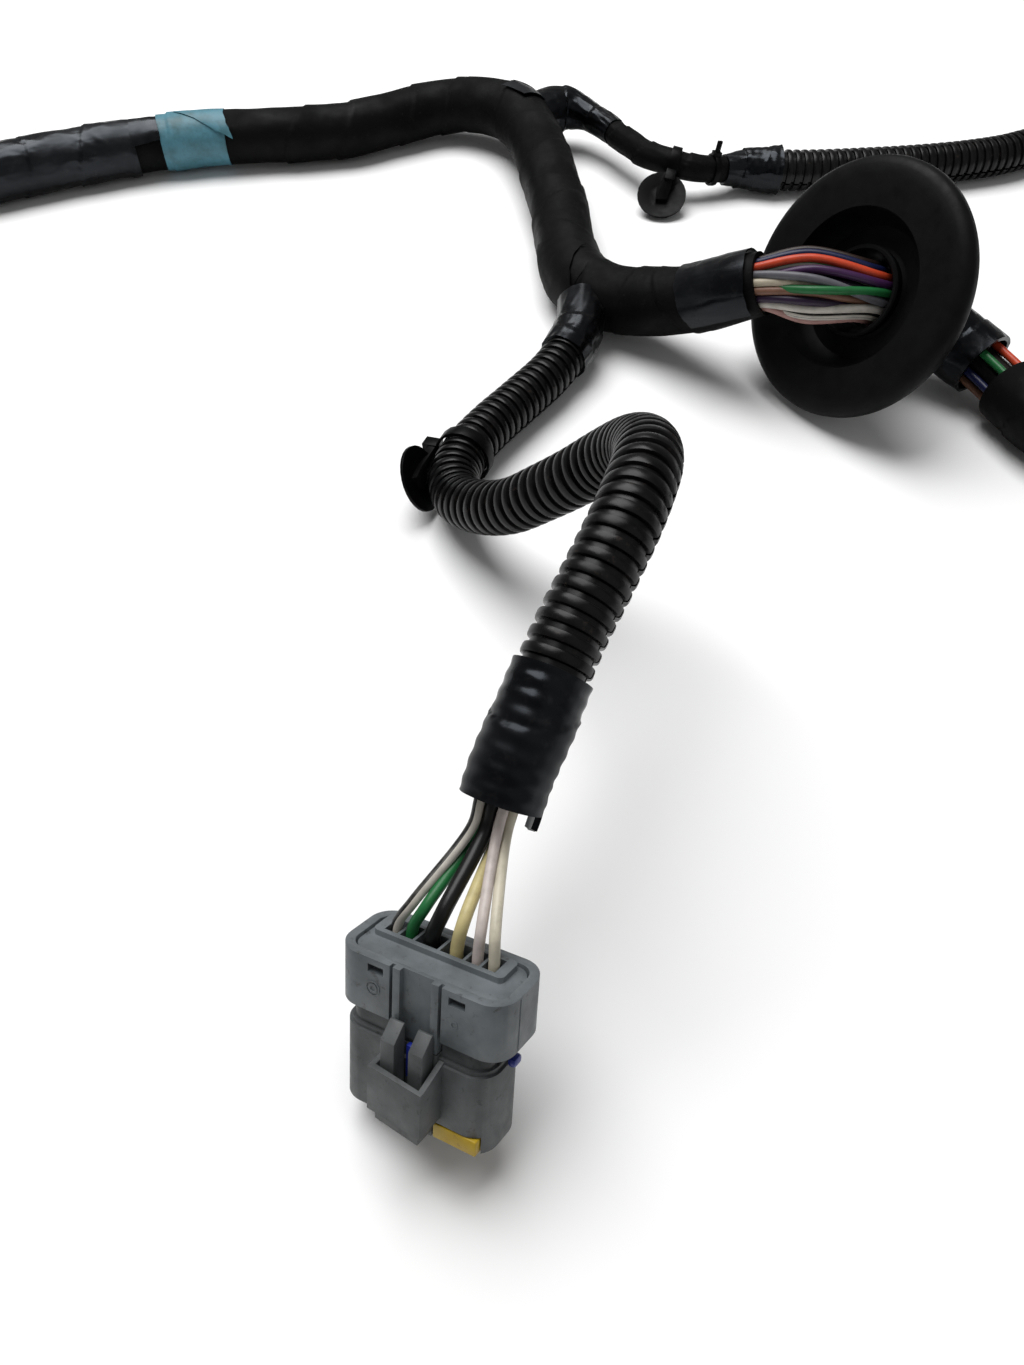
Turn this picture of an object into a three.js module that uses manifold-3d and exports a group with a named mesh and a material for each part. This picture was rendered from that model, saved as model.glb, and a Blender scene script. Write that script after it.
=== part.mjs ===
// Vehicle wiring harness: a taped trunk with two junctions, a clipped side branch in corrugated
// conduit, a rubber bulkhead grommet, and a conduit leg that ends in a six-way sealed connector.
// Millimetres, +Z up. The harness lies on the plane Z = 0.
import * as THREE from 'three';
import { mergeVertices } from 'three/addons/utils/BufferGeometryUtils.js';
import Module from 'manifold-3d';

const wasm = await Module();
wasm.setup();

// Driving dimensions, in mm
const seam = 0.3; // the gap between pieces that touch

const trunk = { leftD: 21.4, midD: 22.6, rightD: 22.6, endD: 19.5, sides: 12, step: 9, mouthDepth: 8, tapeWall: 1.1, taper: 40 };
const tape = { vinylEnd: 151, collarEnd: 162.5, tealEnd: 190.5, middleStart: 300, rightStart: 462, tealWall: 0.3 };
const branch = { d: 9.6, conduitD: 15.8, taperLength: 24, sides: 10, step: 5.5, conduitStep: 9 };
const conduit = { d: 15.4, wall: 1, sides: 12, step: 7, rootD: 17, rootLength: 30, mouthDepth: 24 };
const sleeve = { length: 27, wall: 0.5 };
const wire = { d: 2.6, sides: 8, inConduit: 7, inCavity: 5 };
const bundle = { ringAtTape: 6.9, ringAtMiddle: 8.9, ringAtNeck: 8.2, coreRing: 3.4, coreWires: 6 };

const grommet = {
  centre: [105.2, 295.3, 38.9], facing: [-0.769, -0.456, 0.448], // front face's centre and outward normal
  flangeR: 39.1, flangeThick: 7.5, rimRound: 2.6, holeR: 24, wellDepth: 11, wellFloorR: 20,
  collarR: 14, collarInnerR: 12.2, collarTop: 5, neckWall: 2.2, neckInnerR: 10.2, neckEnd: 16,
  grooveR: 27.5, grooveWidth: 2.4, lipR: 30.2, lipDepth: 2.4, shoulderR: 15.5, segments: 40,
};

const rear = { d: 21.6, start: 1.2, wrapLength: 50, gapLength: 13, sides: 12, step: 9, ringR: 7 };

const plug = {
  centre: [-13.1, 76.7, 36.1], yaw: -35.5, pitch: -29.4, roll: -15.7, // wire-side face
  width: 37, depth: 16.2, length: 33.4, capHeight: 11.6, corner: 5,
  waistHeight: 4.2, waistInset: 1.2, frontInset: 0.3, backInset: 1.9, sideInset: 1.8, lowerWall: 1.7,
  plateInset: 1.9, plateThick: 3.2, plateDrop: 0.6, rimHeight: 1.2, rimWall: 1.1, rowY: 2.5,
  cavityHeight: 4.2, narrow: 2.9, wide: 5, wallBetween: 0.6, rowX: -0.9,
  ribX: 4.2, ribWide: 1.6, recess: 1.1,
  windowX: 8.9, windowWide: 3.5, windowHigh: 1.7, windowTop: 1.3, windowDeep: 2,
};
const tongue = { drop: 3, thick: 2.2 }; // the cap's tongue, which carries the two ribs below its edge
const guard = { left: -6.6, right: 6.2, out: 5.4, outRight: 6.8, top: 18.6, bottom: 28.2, wall: 1.1, stepHigh: 2.6, gusset: 2.4 };
const latch = { left: -4.8, prongWide: 3.1, gap: 3.1, slot: 1.8, top: 10.3, bottom: 26, out: 3.4, bevel: 2.9, thick: 2.2 };
const lock = { left: 4.6, right: 14, high: 3.6, bite: 1.6 };
const core = { inset: 4.2, gapBack: 12.5, slotWide: 1.1, slotHigh: 2.6, slotDeep: 8 };

const clip = {
  strapWide: 4, strapThick: 0.8, dishR: 10, dishDeep: 1.8, dishWall: 1, play: 0.6, headWide: 6.2, headHigh: 4.2, windowWide: 2.6,
  windowLong: 2.2, footWide: 4.6, footHigh: 2, barbR: 2.4, barbLength: 3.4,
};
const branchClip = { along: 84, headTurn: 205, dishCentre: [61.8, 419.6, 5.4], dishFacing: [-0.05, -0.5, 0.866] };
const conduitClip = { along: 90, headTurn: 186, dishCentre: [-28.7, 239.2, 9.5], dishFacing: [0.87, -0.2, 0.45] };
const tie = { along: 101, wide: 2.2, thick: 0.8, headWide: 3.2, headHigh: 1.8, tail: 6, tailThick: 1 };

const endPlug = { collar: 8, cavityDepth: 6, cavity: 1.8, flange: 3, tongue: 8, tongueHigh: 2, wall: 2.5 };
const leftPlug = { width: 34, depth: 17, length: 26, ways: 6 };
const branchPlug = { width: 22, depth: 14, length: 24, ways: 4 };
const rearPlug = { width: 32, depth: 17, length: 26, ways: 6 };

// Routes of the centrelines, as points on the table's datum
const trunkRoute = [
  [-276, 362, 12], [-267, 382, 11.2], [-254, 401, 11.2], [-234, 417, 11.2], [-212.5, 429, 11.2], [-193.5, 438, 11.2],
  [-175, 446, 11.2], [-155.5, 453, 11.3], [-137, 457.5, 11.5], [-114, 460.5, 11.5], [-92.5, 463, 11.3],
  [-71, 467.5, 11.2], [-52, 477.5, 11.6], [-37, 485, 12], [-23.5, 486.5, 13.5], [-10, 481, 15], [0, 471, 16],
  [7, 458, 16], [11.5, 438, 15.5], [15.5, 416.5, 14], [18.5, 395, 12.5], [20, 373.5, 12], [21.5, 358, 12],
  [25.5, 344, 12], [33.5, 334, 12.6], [44, 327, 14.8], [53.5, 320.5, 18.6], [61.5, 314, 23.5], [69, 308.5, 29],
  [75, 305, 33], [80.5, 302.5, 36],
];
const branchRoute = [
  [9, 467, 16], [16, 474.5, 16], [24, 477.5, 15.6], [32, 473.5, 15], [40, 464.5, 14.4], [49, 449.5, 14],
  [57, 437.5, 14], [66.5, 432, 13.7], [77, 431.5, 11.6], [88, 434, 9.8], [97, 436.5, 9], [104.5, 436, 8.9],
  [121.5, 436, 8.5], [151.5, 438.5, 8.4], [172, 441, 8.4], [191, 444.5, 8.4], [210, 450, 8.4], [222, 455.5, 8.4],
  [236, 461, 8.4], [250, 463, 8.4], [264, 460, 8.8], [276, 453, 9.4],
];
const conduitRoute = [
  [25, 330, 12], [23, 315, 11], [14, 295.5, 9], [2, 278.5, 8.4], [-7.5, 264.5, 8.9], [-14, 252.5, 9.4],
  [-17.5, 240, 10], [-15.5, 228, 12], [-8, 217, 18.5], [0, 209.5, 26], [8, 204.5, 35], [15.5, 200.5, 43.5],
  [22.5, 196.5, 52.5], [27.5, 190, 61.5], [29.5, 180.5, 69], [28.5, 169.5, 74], [26, 160.5, 75],
  [22.5, 151.5, 73.5], [17, 141, 69], [11.5, 131.5, 64], [7.5, 123.5, 59.5], [3, 114, 54], [0, 108.5, 50],
  [-2.2, 103.5, 46],
];
const rearRoute = [
  [117.6, 302.7, 31.8], [126.5, 307.5, 26], [136.5, 308, 20.6], [146, 303.5, 16.4], [154, 296, 13.4], [160, 286.5, 11.6],
  [164.5, 275, 11.2], [170.5, 262.5, 11.2], [179.5, 251.5, 11.2], [191, 243.5, 11.2], [205, 240.5, 11.4],
  [217, 239.5, 11.6],
];

// Materials
const finish = (color, roughness, metalness = 0) => new THREE.MeshStandardMaterial({ color, roughness, metalness });
const clothTape = finish(0x141415, 0.85);
const vinylTape = finish(0x0c0c0d, 0.35);
const tealTape = finish(0x55868f, 0.6);
const conduitPlastic = finish(0x0d0d0e, 0.4);
const rubber = finish(0x101011, 0.7);
const clipPlastic = finish(0x0b0b0c, 0.45);
const greyPlastic = finish(0x626a70, 0.55);
const capPlastic = finish(0x6a737a, 0.55);
const yellowPlastic = finish(0xc39a0a, 0.5);
const blueSilicone = finish(0x0b1f7a, 0.5);
const tinPlate = finish(0xb9b6ae, 0.35, 0.9);
const insulation = (color) => finish(color, 0.5);

// Solids
function solidOf(geometry) {
  const plain = geometry.index ? geometry.toNonIndexed() : geometry.clone();
  plain.deleteAttribute('normal');
  plain.deleteAttribute('uv');
  const merged = mergeVertices(plain, 1e-4);
  return new wasm.Manifold(new wasm.Mesh({
    numProp: 3,
    vertProperties: new Float32Array(merged.attributes.position.array),
    triVerts: new Uint32Array(merged.index.array),
  }));
}

function geometryOf(solid) {
  const mesh = solid.getMesh();
  const geometry = new THREE.BufferGeometry();
  geometry.setAttribute('position', new THREE.BufferAttribute(new Float32Array(mesh.vertProperties), 3));
  geometry.setIndex(new THREE.BufferAttribute(new Uint32Array(mesh.triVerts), 1));
  geometry.computeVertexNormals();
  return geometry;
}

const largest = (solid) => solid.decompose().sort((a, b) => b.volume() - a.volume())[0];

function slab(x0, x1, y0, y1, z0, z1) {
  return solidOf(new THREE.BoxGeometry(x1 - x0, y1 - y0, z1 - z0)
    .translate((x0 + x1) / 2, (y0 + y1) / 2, (z0 + z1) / 2));
}

// A rounded rectangle, extruded from z0 to z1
function roundedBlock(width, depth, radius, z0, z1, turns = 5, x = 0, y = 0) {
  const w = width / 2 - radius;
  const d = depth / 2 - radius;
  const outline = new THREE.Shape();
  outline.absarc(w, d, radius, 0, Math.PI / 2);
  outline.absarc(-w, d, radius, Math.PI / 2, Math.PI);
  outline.absarc(-w, -d, radius, Math.PI, 1.5 * Math.PI);
  outline.absarc(w, -d, radius, 1.5 * Math.PI, 2 * Math.PI);
  const block = new THREE.ExtrudeGeometry(outline, { depth: z1 - z0, bevelEnabled: false, curveSegments: turns });
  return solidOf(block.translate(x, y, z0));
}

// Routes
const curveOf = (points) => new THREE.CatmullRomCurve3(points.map((p) => new THREE.Vector3(...p)), false, 'centripetal');

// The stretch of a route between two lengths along it, running straight on past the route's ends
class Stretch extends THREE.Curve {
  constructor(route, from, to) {
    super();
    this.route = route;
    this.from = from / route.getLength();
    this.to = to / route.getLength();
  }
  getPoint(t, target = new THREE.Vector3()) {
    const at = this.from + t * (this.to - this.from);
    const onRoute = THREE.MathUtils.clamp(at, 0, 1);
    this.route.getPointAt(onRoute, target);
    return at === onRoute ? target : target.addScaledVector(this.route.getTangentAt(onRoute), (at - onRoute) * this.route.getLength());
  }
}

function ring(diameter, sides) {
  const radius = diameter / 2 / Math.cos(Math.PI / sides);
  return new THREE.Shape(Array.from({ length: sides }, (_, i) => {
    const a = (i + 0.5) / sides * 2 * Math.PI;
    return new THREE.Vector2(radius * Math.cos(a), radius * Math.sin(a));
  }));
}

// A tube of one diameter along a curve
function tube(curve, diameter, sides, step) {
  const steps = Math.max(2, Math.round(curve.getLength() / step));
  return new THREE.ExtrudeGeometry(ring(diameter, sides), { steps, extrudePath: curve, bevelEnabled: false });
}

const stretchTube = (route, from, to, diameter, sides, step) =>
  tube(new Stretch(route, from, to), diameter, sides, step);

// A tube whose diameter goes evenly from one size to another
function taperTube(route, from, to, startD, endD, sides, step) {
  const curve = new Stretch(route, from, to);
  const steps = Math.max(2, Math.round(curve.getLength() / step));
  const geometry = new THREE.ExtrudeGeometry(ring(1, sides), { steps, extrudePath: curve, bevelEnabled: false });
  const centres = curve.getSpacedPoints(steps);
  const place = geometry.attributes.position;
  const point = new THREE.Vector3();
  for (let i = 0; i < place.count; i++) {
    point.fromBufferAttribute(place, i);
    let near = 0;
    for (let k = 1; k <= steps; k++) if (point.distanceTo(centres[k]) < point.distanceTo(centres[near])) near = k;
    point.sub(centres[near]).multiplyScalar(startD + (endD - startD) * near / steps).add(centres[near]);
    place.setXYZ(i, point.x, point.y, point.z);
  }
  return geometry;
}

const harness = new THREE.Group();

function add(name, geometry, material, parent = harness) {
  const mesh = new THREE.Mesh(geometry, material);
  mesh.name = name;
  parent.add(mesh);
}

// A group at a point of a route, with +Z along the route and +X to its side
function stationOn(route, length) {
  const at = length / route.getLength();
  const station = new THREE.Group();
  const along = route.getTangentAt(at);
  const side = new THREE.Vector3(0, 0, 1).cross(along).normalize();
  station.position.copy(route.getPointAt(at));
  station.quaternion.setFromRotationMatrix(new THREE.Matrix4().makeBasis(side, along.clone().cross(side), along));
  harness.add(station);
  return station;
}

// Taped trunk, in sections of different tape along one route
const trunkCurve = curveOf(trunkRoute);
const trunkLength = trunkCurve.getLength();

function trunkSection(name, from, to, diameter, material) {
  add(name, stretchTube(trunkCurve, from, to, diameter, trunk.sides, trunk.step), material);
}

function makeTrunk() {
  trunkSection('vinyl_tape_left', 0, tape.vinylEnd - seam, trunk.leftD, vinylTape);
  trunkSection('cloth_tape_collar', tape.vinylEnd, tape.collarEnd - seam, trunk.leftD - 0.6, clothTape);
  trunkSection('teal_tape_band', tape.collarEnd, tape.tealEnd - seam, trunk.leftD + 2 * tape.tealWall, tealTape);
  trunkSection('cloth_tape_left', tape.tealEnd, tape.middleStart - seam, trunk.leftD, clothTape);
  trunkSection('cloth_tape_middle', tape.middleStart, tape.rightStart - seam, trunk.midD, clothTape);
  const right = solidOf(stretchTube(trunkCurve, tape.rightStart, trunkLength - trunk.taper, trunk.rightD, trunk.sides, trunk.step))
    .add(solidOf(taperTube(trunkCurve, trunkLength - trunk.taper - 0.5, trunkLength, trunk.rightD, trunk.endD, trunk.sides, trunk.step)))
    .subtract(solidOf(stretchTube(trunkCurve, trunkLength - trunk.mouthDepth, trunkLength + 1,
      trunk.endD - 2 * trunk.tapeWall, trunk.sides, trunk.step)));
  add('cloth_tape_right', geometryOf(largest(right)), clothTape);
}

// The same stretch of trunk, a gap fatter, to cut what joins it
const fatTrunk = (from, to, diameter) =>
  solidOf(stretchTube(trunkCurve, from, to - seam, diameter + 2 * seam, trunk.sides, trunk.step));

// Side branch: taped lead, taper wrap and corrugated conduit
const branchCurve = curveOf(branchRoute);
const branchLength = branchCurve.getLength();
const taperStart = 106;

function makeBranch() {
  const lead = solidOf(stretchTube(branchCurve, 0, taperStart - seam, branch.d, branch.sides, branch.step))
    .subtract(fatTrunk(tape.tealEnd, tape.middleStart, trunk.leftD)).subtract(fatTrunk(tape.middleStart, tape.rightStart, trunk.midD));
  add('branch_tape', geometryOf(largest(lead)), vinylTape);
  const wrapEnd = taperStart + branch.taperLength;
  add('branch_taper_wrap', taperTube(branchCurve, taperStart, wrapEnd - seam, branch.d + 1.4, branch.conduitD + 1,
    branch.sides, branch.step), vinylTape);
  add('branch_conduit', stretchTube(branchCurve, wrapEnd, branchLength, branch.conduitD, branch.sides, branch.conduitStep),
    conduitPlastic);
}

// Conduit leg: root wrap, corrugated conduit, taped end sleeve
const conduitCurve = curveOf(conduitRoute);
const conduitLength = conduitCurve.getLength();

function makeConduitLeg() {
  const root = solidOf(stretchTube(conduitCurve, 0, conduit.rootLength - seam, conduit.rootD, conduit.sides, conduit.step))
    .subtract(fatTrunk(tape.middleStart, tape.rightStart, trunk.midD)).subtract(fatTrunk(tape.rightStart, trunkLength - trunk.taper, trunk.rightD));
  add('conduit_root_wrap', geometryOf(largest(root)), vinylTape);
  const run = solidOf(stretchTube(conduitCurve, conduit.rootLength, conduitLength, conduit.d, conduit.sides, conduit.step))
    .subtract(solidOf(stretchTube(conduitCurve, conduitLength - conduit.mouthDepth, conduitLength + 1,
      conduit.d - 2 * conduit.wall, conduit.sides, conduit.step)));
  add('main_conduit', geometryOf(largest(run)), conduitPlastic);
  const outside = solidOf(stretchTube(conduitCurve, conduitLength - sleeve.length, conduitLength - 0.6,
    conduit.d + 2 * (seam + sleeve.wall), conduit.sides, conduit.step));
  const inside = solidOf(stretchTube(conduitCurve, conduitLength - sleeve.length - 6, conduitLength,
    conduit.d + 2 * seam, conduit.sides, conduit.step / 2));
  add('conduit_end_tape', geometryOf(largest(outside.subtract(inside))), vinylTape);
}

// Bulkhead grommet, one moulding of revolution
const grommetFrame = new THREE.Group();
grommetFrame.position.set(...grommet.centre);
grommetFrame.quaternion.setFromUnitVectors(new THREE.Vector3(0, 0, 1), new THREE.Vector3(...grommet.facing).normalize());
harness.add(grommetFrame);

function makeGrommet() {
  const g = grommet;
  const backOfFlange = -g.flangeThick;
  const lip = backOfFlange - g.grooveWidth;
  const neckR = g.neckInnerR + g.neckWall;
  const profile = [
    [g.holeR, 0], [g.flangeR - 2.4 * g.rimRound, 0], [g.flangeR - g.rimRound, -0.5], [g.flangeR - 0.3 * g.rimRound, -1.7],
    [g.flangeR, -g.rimRound - 1], [g.flangeR, backOfFlange + 1.8], [g.flangeR - 1.6, backOfFlange],
    [g.grooveR, backOfFlange], [g.grooveR, lip], [g.lipR, lip - 0.4], [g.lipR - 2.4, lip - g.lipDepth],
    [g.shoulderR + 3, -g.neckEnd + 4], [neckR, -g.neckEnd + 2], [neckR, -g.neckEnd], [g.neckInnerR, -g.neckEnd],
    [g.neckInnerR, -g.collarTop - 5], [g.collarInnerR, -g.collarTop], [g.collarR, -g.collarTop],
    [g.collarR - 0.4, -g.wellDepth + 1.5], [g.wellFloorR, -g.wellDepth + 1.5], [g.holeR - 0.8, -5], [g.holeR, -1],
  ].map(([r, z]) => new THREE.Vector2(r, z));
  profile.push(profile[0].clone());
  const turned = new THREE.LatheGeometry(profile.reverse(), g.segments).rotateX(Math.PI / 2);
  add('grommet', turned, rubber, grommetFrame);
}

// Wires that show between the trunk's tape and the grommet's neck
const bundleColours = {
  brown: 0x2b1d18, navy: 0x131a3a, orange: 0xd0391c, violet: 0x4b2a5e, grey: 0x6f6f78, cream: 0xb9ad98, tan: 0x7d5a45,
  green: 0x2f6b3f, plum: 0x35203f, white: 0xc9c4bb, pink: 0xb98f8a,
};

function makeBundleWires() {
  const b = bundle;
  const start = trunkCurve.getPointAt(1 - (trunk.mouthDepth - 2) / trunkLength);
  const startDirection = trunkCurve.getTangentAt(1);
  const facing = new THREE.Vector3(...grommet.facing).normalize();
  const end = new THREE.Vector3(...grommet.centre).addScaledVector(facing, -grommet.neckEnd + 1);
  const mouth = new THREE.Vector3(...grommet.centre).addScaledVector(facing, -grommet.collarTop);
  const middle = start.clone().lerp(mouth, 0.55).add(new THREE.Vector3(-1, -1, 2));
  const stations = [
    [start, startDirection, b.ringAtTape], [trunkCurve.getPointAt(1), startDirection, b.ringAtTape],
    [middle, startDirection.clone().sub(facing).normalize(), b.ringAtMiddle],
    [mouth, facing.clone().negate(), b.ringAtNeck], [end, facing.clone().negate(), b.ringAtNeck],
  ];
  const pathAt = (angle, share) => new THREE.CatmullRomCurve3(stations.map(([centre, along, radius]) => {
    const side = new THREE.Vector3(0, 0, 1).cross(along).normalize();
    const over = along.clone().cross(side);
    return centre.clone().addScaledVector(side, share * radius * Math.cos(angle)).addScaledVector(over, share * radius * Math.sin(angle));
  }), false, 'centripetal');
  Object.entries(bundleColours).forEach(([colour, value], i) => {
    const path = pathAt(2 * Math.PI * i / Object.keys(bundleColours).length, 1);
    add(`bundle_wire_${colour}`, tube(path, wire.d, wire.sides, 6), insulation(value));
  });
  // The wires in the middle of the bundle lie against each other and are one lobed solid
  const lobes = new THREE.Shape(Array.from({ length: 6 * b.coreWires }, (_, i) => {
    const a = i / (6 * b.coreWires) * 2 * Math.PI;
    const radius = b.coreRing + wire.d / 2 * Math.abs(Math.cos(b.coreWires * a / 2));
    return new THREE.Vector2(radius * Math.cos(a), radius * Math.sin(a));
  }));
  const inner = new THREE.ExtrudeGeometry(lobes, { steps: 8, extrudePath: pathAt(0, 0), bevelEnabled: false });
  add('bundle_inner_wires', inner, insulation(0x3b3b40));
}

// Rear leg: vinyl wrap, the gap where its wires show, and the outer tape
const rearCurve = curveOf(rearRoute);
const rearLength = rearCurve.getLength();
const rearColours = {
  brown: 0x3a241c, orange: 0xd0391c, green: 0x2f6b3f, navy: 0x131a3a, tan: 0x9a7458, black: 0x161617,
};

function makeRearLeg() {
  const gapEnd = rear.wrapLength + rear.gapLength;
  const depth = 5;
  const hollow = (from, to) => solidOf(stretchTube(rearCurve, from, to, rear.d - 2 * trunk.tapeWall, rear.sides, depth));
  const wrap = solidOf(stretchTube(rearCurve, rear.start, rear.wrapLength, rear.d, rear.sides, rear.step))
    .subtract(hollow(rear.wrapLength - depth, rear.wrapLength + 1));
  add('rear_vinyl_wrap', geometryOf(largest(wrap)), vinylTape);
  const outer = solidOf(stretchTube(rearCurve, gapEnd, rearLength, rear.d, rear.sides, rear.step))
    .subtract(hollow(gapEnd - 1, gapEnd + depth));
  add('rear_tape', geometryOf(largest(outer)), clothTape);
  const path = (angle, share) => {
    const points = [];
    for (let i = 0; i <= 4; i++) {
      const at = (rear.wrapLength - depth + seam + (rear.gapLength + 2 * (depth - seam)) * i / 4) / rearLength;
      const along = rearCurve.getTangentAt(at);
      const side = new THREE.Vector3(0, 0, 1).cross(along).normalize();
      const over = along.clone().cross(side);
      points.push(rearCurve.getPointAt(at)
        .addScaledVector(side, share * rear.ringR * Math.cos(angle)).addScaledVector(over, share * rear.ringR * Math.sin(angle)));
    }
    return new THREE.CatmullRomCurve3(points, false, 'centripetal');
  };
  Object.entries(rearColours).forEach(([colour, value], i) => {
    add(`rear_wire_${colour}`, tube(path(2 * Math.PI * i / Object.keys(rearColours).length, 1), wire.d, wire.sides, 6), insulation(value));
  });
}

// Six-way connector. Its frame has Z along the wires, with the wire-side face at 0 and the mating end at -length.
const connector = new THREE.Group();
connector.position.set(...plug.centre);
connector.rotation.set(...[plug.pitch, plug.roll, plug.yaw].map(THREE.MathUtils.degToRad), 'ZXY');
harness.add(connector);

// Stands a shape that is drawn in the connector's Y and Z on its side, along X
const sideways = new THREE.Matrix4().makeBasis(new THREE.Vector3(0, 1, 0), new THREE.Vector3(0, 0, 1), new THREE.Vector3(1, 0, 0));

const cavityWidths = [plug.narrow, plug.narrow, plug.wide, plug.wide, plug.narrow, plug.narrow];
const rowWidth = cavityWidths.reduce((sum, w) => sum + w + plug.wallBetween, -plug.wallBetween);
const cavities = cavityWidths.map((width, i) => {
  const before = cavityWidths.slice(0, i).reduce((sum, w) => sum + w + plug.wallBetween, 0);
  const left = plug.rowX - rowWidth / 2 + before;
  return { left, right: left + width, middle: left + width / 2 };
});
const rowMiddleY = plug.rowY;

function makeConnector() {
  const p = plug;
  const front = -p.depth / 2;
  // Cap: a rounded tray round the rear plate, with the latch channel down its front
  const capBody = roundedBlock(p.width, p.depth, p.corner, -p.capHeight, 0)
    .subtract(roundedBlock(p.width - 2 * p.plateInset, p.depth - 2 * p.plateInset, p.corner - p.plateInset, -p.plateThick, 1));
  const ribOuter = p.ribX + p.ribWide / 2;
  const ribInner = p.ribX - p.ribWide / 2;
  const tongueEnd = -p.capHeight - tongue.drop;
  const lip = slab(-ribOuter, ribOuter, front, front + tongue.thick, tongueEnd, -p.capHeight + 1);
  const channel = slab(-ribInner, ribInner, front - 1, front + p.recess, tongueEnd - 1, 1);
  const groove = (x) => slab(x - 0.35, x + 0.35, front - 1, front + p.recess, -p.capHeight - 1, 1);
  const window = (x) => slab(x - p.windowWide / 2, x + p.windowWide / 2, front - 1, front + p.windowDeep,
    -p.windowTop - p.windowHigh, -p.windowTop);
  const wireHole = cavities.map((c) => slab(c.left, c.right, rowMiddleY - p.cavityHeight / 2, rowMiddleY + p.cavityHeight / 2,
    -p.capHeight - 1, -p.plateThick + 1));
  let cap = capBody.add(lip).subtract(channel).subtract(groove(-ribOuter - 0.35))
    .subtract(groove(ribOuter + 0.35)).subtract(window(-p.windowX)).subtract(window(p.windowX));
  for (const hole of wireHole) cap = cap.subtract(hole);
  add('connector_cap', geometryOf(largest(cap)), capPlastic, connector);

  // Rear plate with a raised rim round the row of wire cavities
  const plateW = p.width - 2 * p.plateInset - 2 * seam;
  const plateD = p.depth - 2 * p.plateInset - 2 * seam;
  let plate = roundedBlock(plateW, plateD, p.corner - p.plateInset, -p.plateThick + seam, -p.plateDrop);
  const rim = roundedBlock(rowWidth + 2 * p.rimWall + 2, p.cavityHeight + 2 * p.rimWall, 1.2, -p.plateDrop - 0.5,
    -p.plateDrop + p.rimHeight, 3, p.rowX, rowMiddleY);
  plate = plate.add(rim);
  for (const c of cavities) {
    plate = plate.subtract(slab(c.left, c.right, rowMiddleY - p.cavityHeight / 2, rowMiddleY + p.cavityHeight / 2, -p.plateThick - 1, 2));
  }
  add('connector_rear_plate', geometryOf(largest(plate)), capPlastic, connector);

  // Lower housing: waist, shouldered skirt open at the mating end, and the latch guard on its front
  const lowW = p.width - 2 * p.sideInset;
  const lowD = p.depth - p.backInset - p.frontInset;
  const lowY = (p.frontInset - p.backInset) / 2;
  const lowFront = lowY - lowD / 2;
  const low = (inset, radius, z0, z1, turns = 5) =>
    roundedBlock(lowW - 2 * inset, lowD - 2 * inset, radius, z0, z1, turns, p.rowX, lowY);
  const waistTop = -p.capHeight - seam;
  const shoulder = -p.capHeight - p.waistHeight;
  const seat = -p.length + core.gapBack;
  const slotMiddle = latch.left + latch.prongWide + latch.gap / 2;
  let lower = low(p.waistInset, p.corner - p.waistInset, shoulder - 1, waistTop)
    .add(low(0.6, p.corner - 0.6, shoulder - 1.2, shoulder))
    .add(low(0, p.corner, -p.length, shoulder - 0.9))
    .subtract(low(p.lowerWall, p.corner - p.lowerWall, -p.length - 1, seat))
    .subtract(slab(slotMiddle - latch.slot / 2, slotMiddle + latch.slot / 2, lowFront - 1,
      lowFront + p.waistInset + 1.4, -latch.bottom, shoulder + 0.6))
    .subtract(slab(-ribOuter - seam, ribOuter + seam, lowFront - 2, front + tongue.thick + seam, tongueEnd - seam, waistTop + 1))
    .subtract(slab(-ribInner, ribInner, lowFront - 1, lowFront + 0.8, -guard.top, tongueEnd - seam))
    .add(slab(ribInner, ribOuter, front, lowFront + 2, -guard.top, tongueEnd - seam));
  for (const c of cavities) {
    lower = lower.subtract(slab(c.left, c.right, rowMiddleY - p.cavityHeight / 2, rowMiddleY + p.cavityHeight / 2,
      seat - 1, waistTop + 1));
  }
  // The guard is a tray seen from above: its front stands out further on the right
  const tray = (inset, back, z0, z1) => {
    const outline = new THREE.Shape([
      new THREE.Vector2(guard.left + inset, back), new THREE.Vector2(guard.left + inset, lowFront - guard.out + inset),
      new THREE.Vector2(guard.right - inset, lowFront - guard.outRight + inset), new THREE.Vector2(guard.right - inset, back),
    ]);
    return solidOf(new THREE.ExtrudeGeometry(outline, { depth: z1 - z0, bevelEnabled: false }).translate(0, 0, z0));
  };
  const hood = tray(0, lowFront + 0.6, -guard.bottom, -guard.top)
    .subtract(tray(guard.wall, lowFront, -guard.bottom + guard.wall, 0));
  const step = tray(guard.wall, lowFront + 0.6, -guard.bottom - guard.stepHigh, -guard.bottom + guard.wall / 2);
  const web = new THREE.Shape([
    new THREE.Vector2(lowFront + 0.6, -guard.top - 0.5), new THREE.Vector2(lowFront - guard.outRight + 1, -guard.top - 0.5),
    new THREE.Vector2(lowFront - guard.outRight + 1, -guard.top), new THREE.Vector2(lowFront + 0.6, -guard.top + guard.gusset),
  ]);
  const gusset = solidOf(new THREE.ExtrudeGeometry(web, { depth: guard.wall, bevelEnabled: false })
    .applyMatrix4(sideways).translate(guard.right - guard.wall, 0, 0));
  const lockSeat = slab(lock.left - seam, lock.right + seam, lowFront - 1, lowY, -p.length - 1, -p.length + lock.high);
  add('connector_housing', geometryOf(largest(lower.add(hood).add(step).add(gusset).subtract(lockSeat))), greyPlastic, connector);

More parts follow.
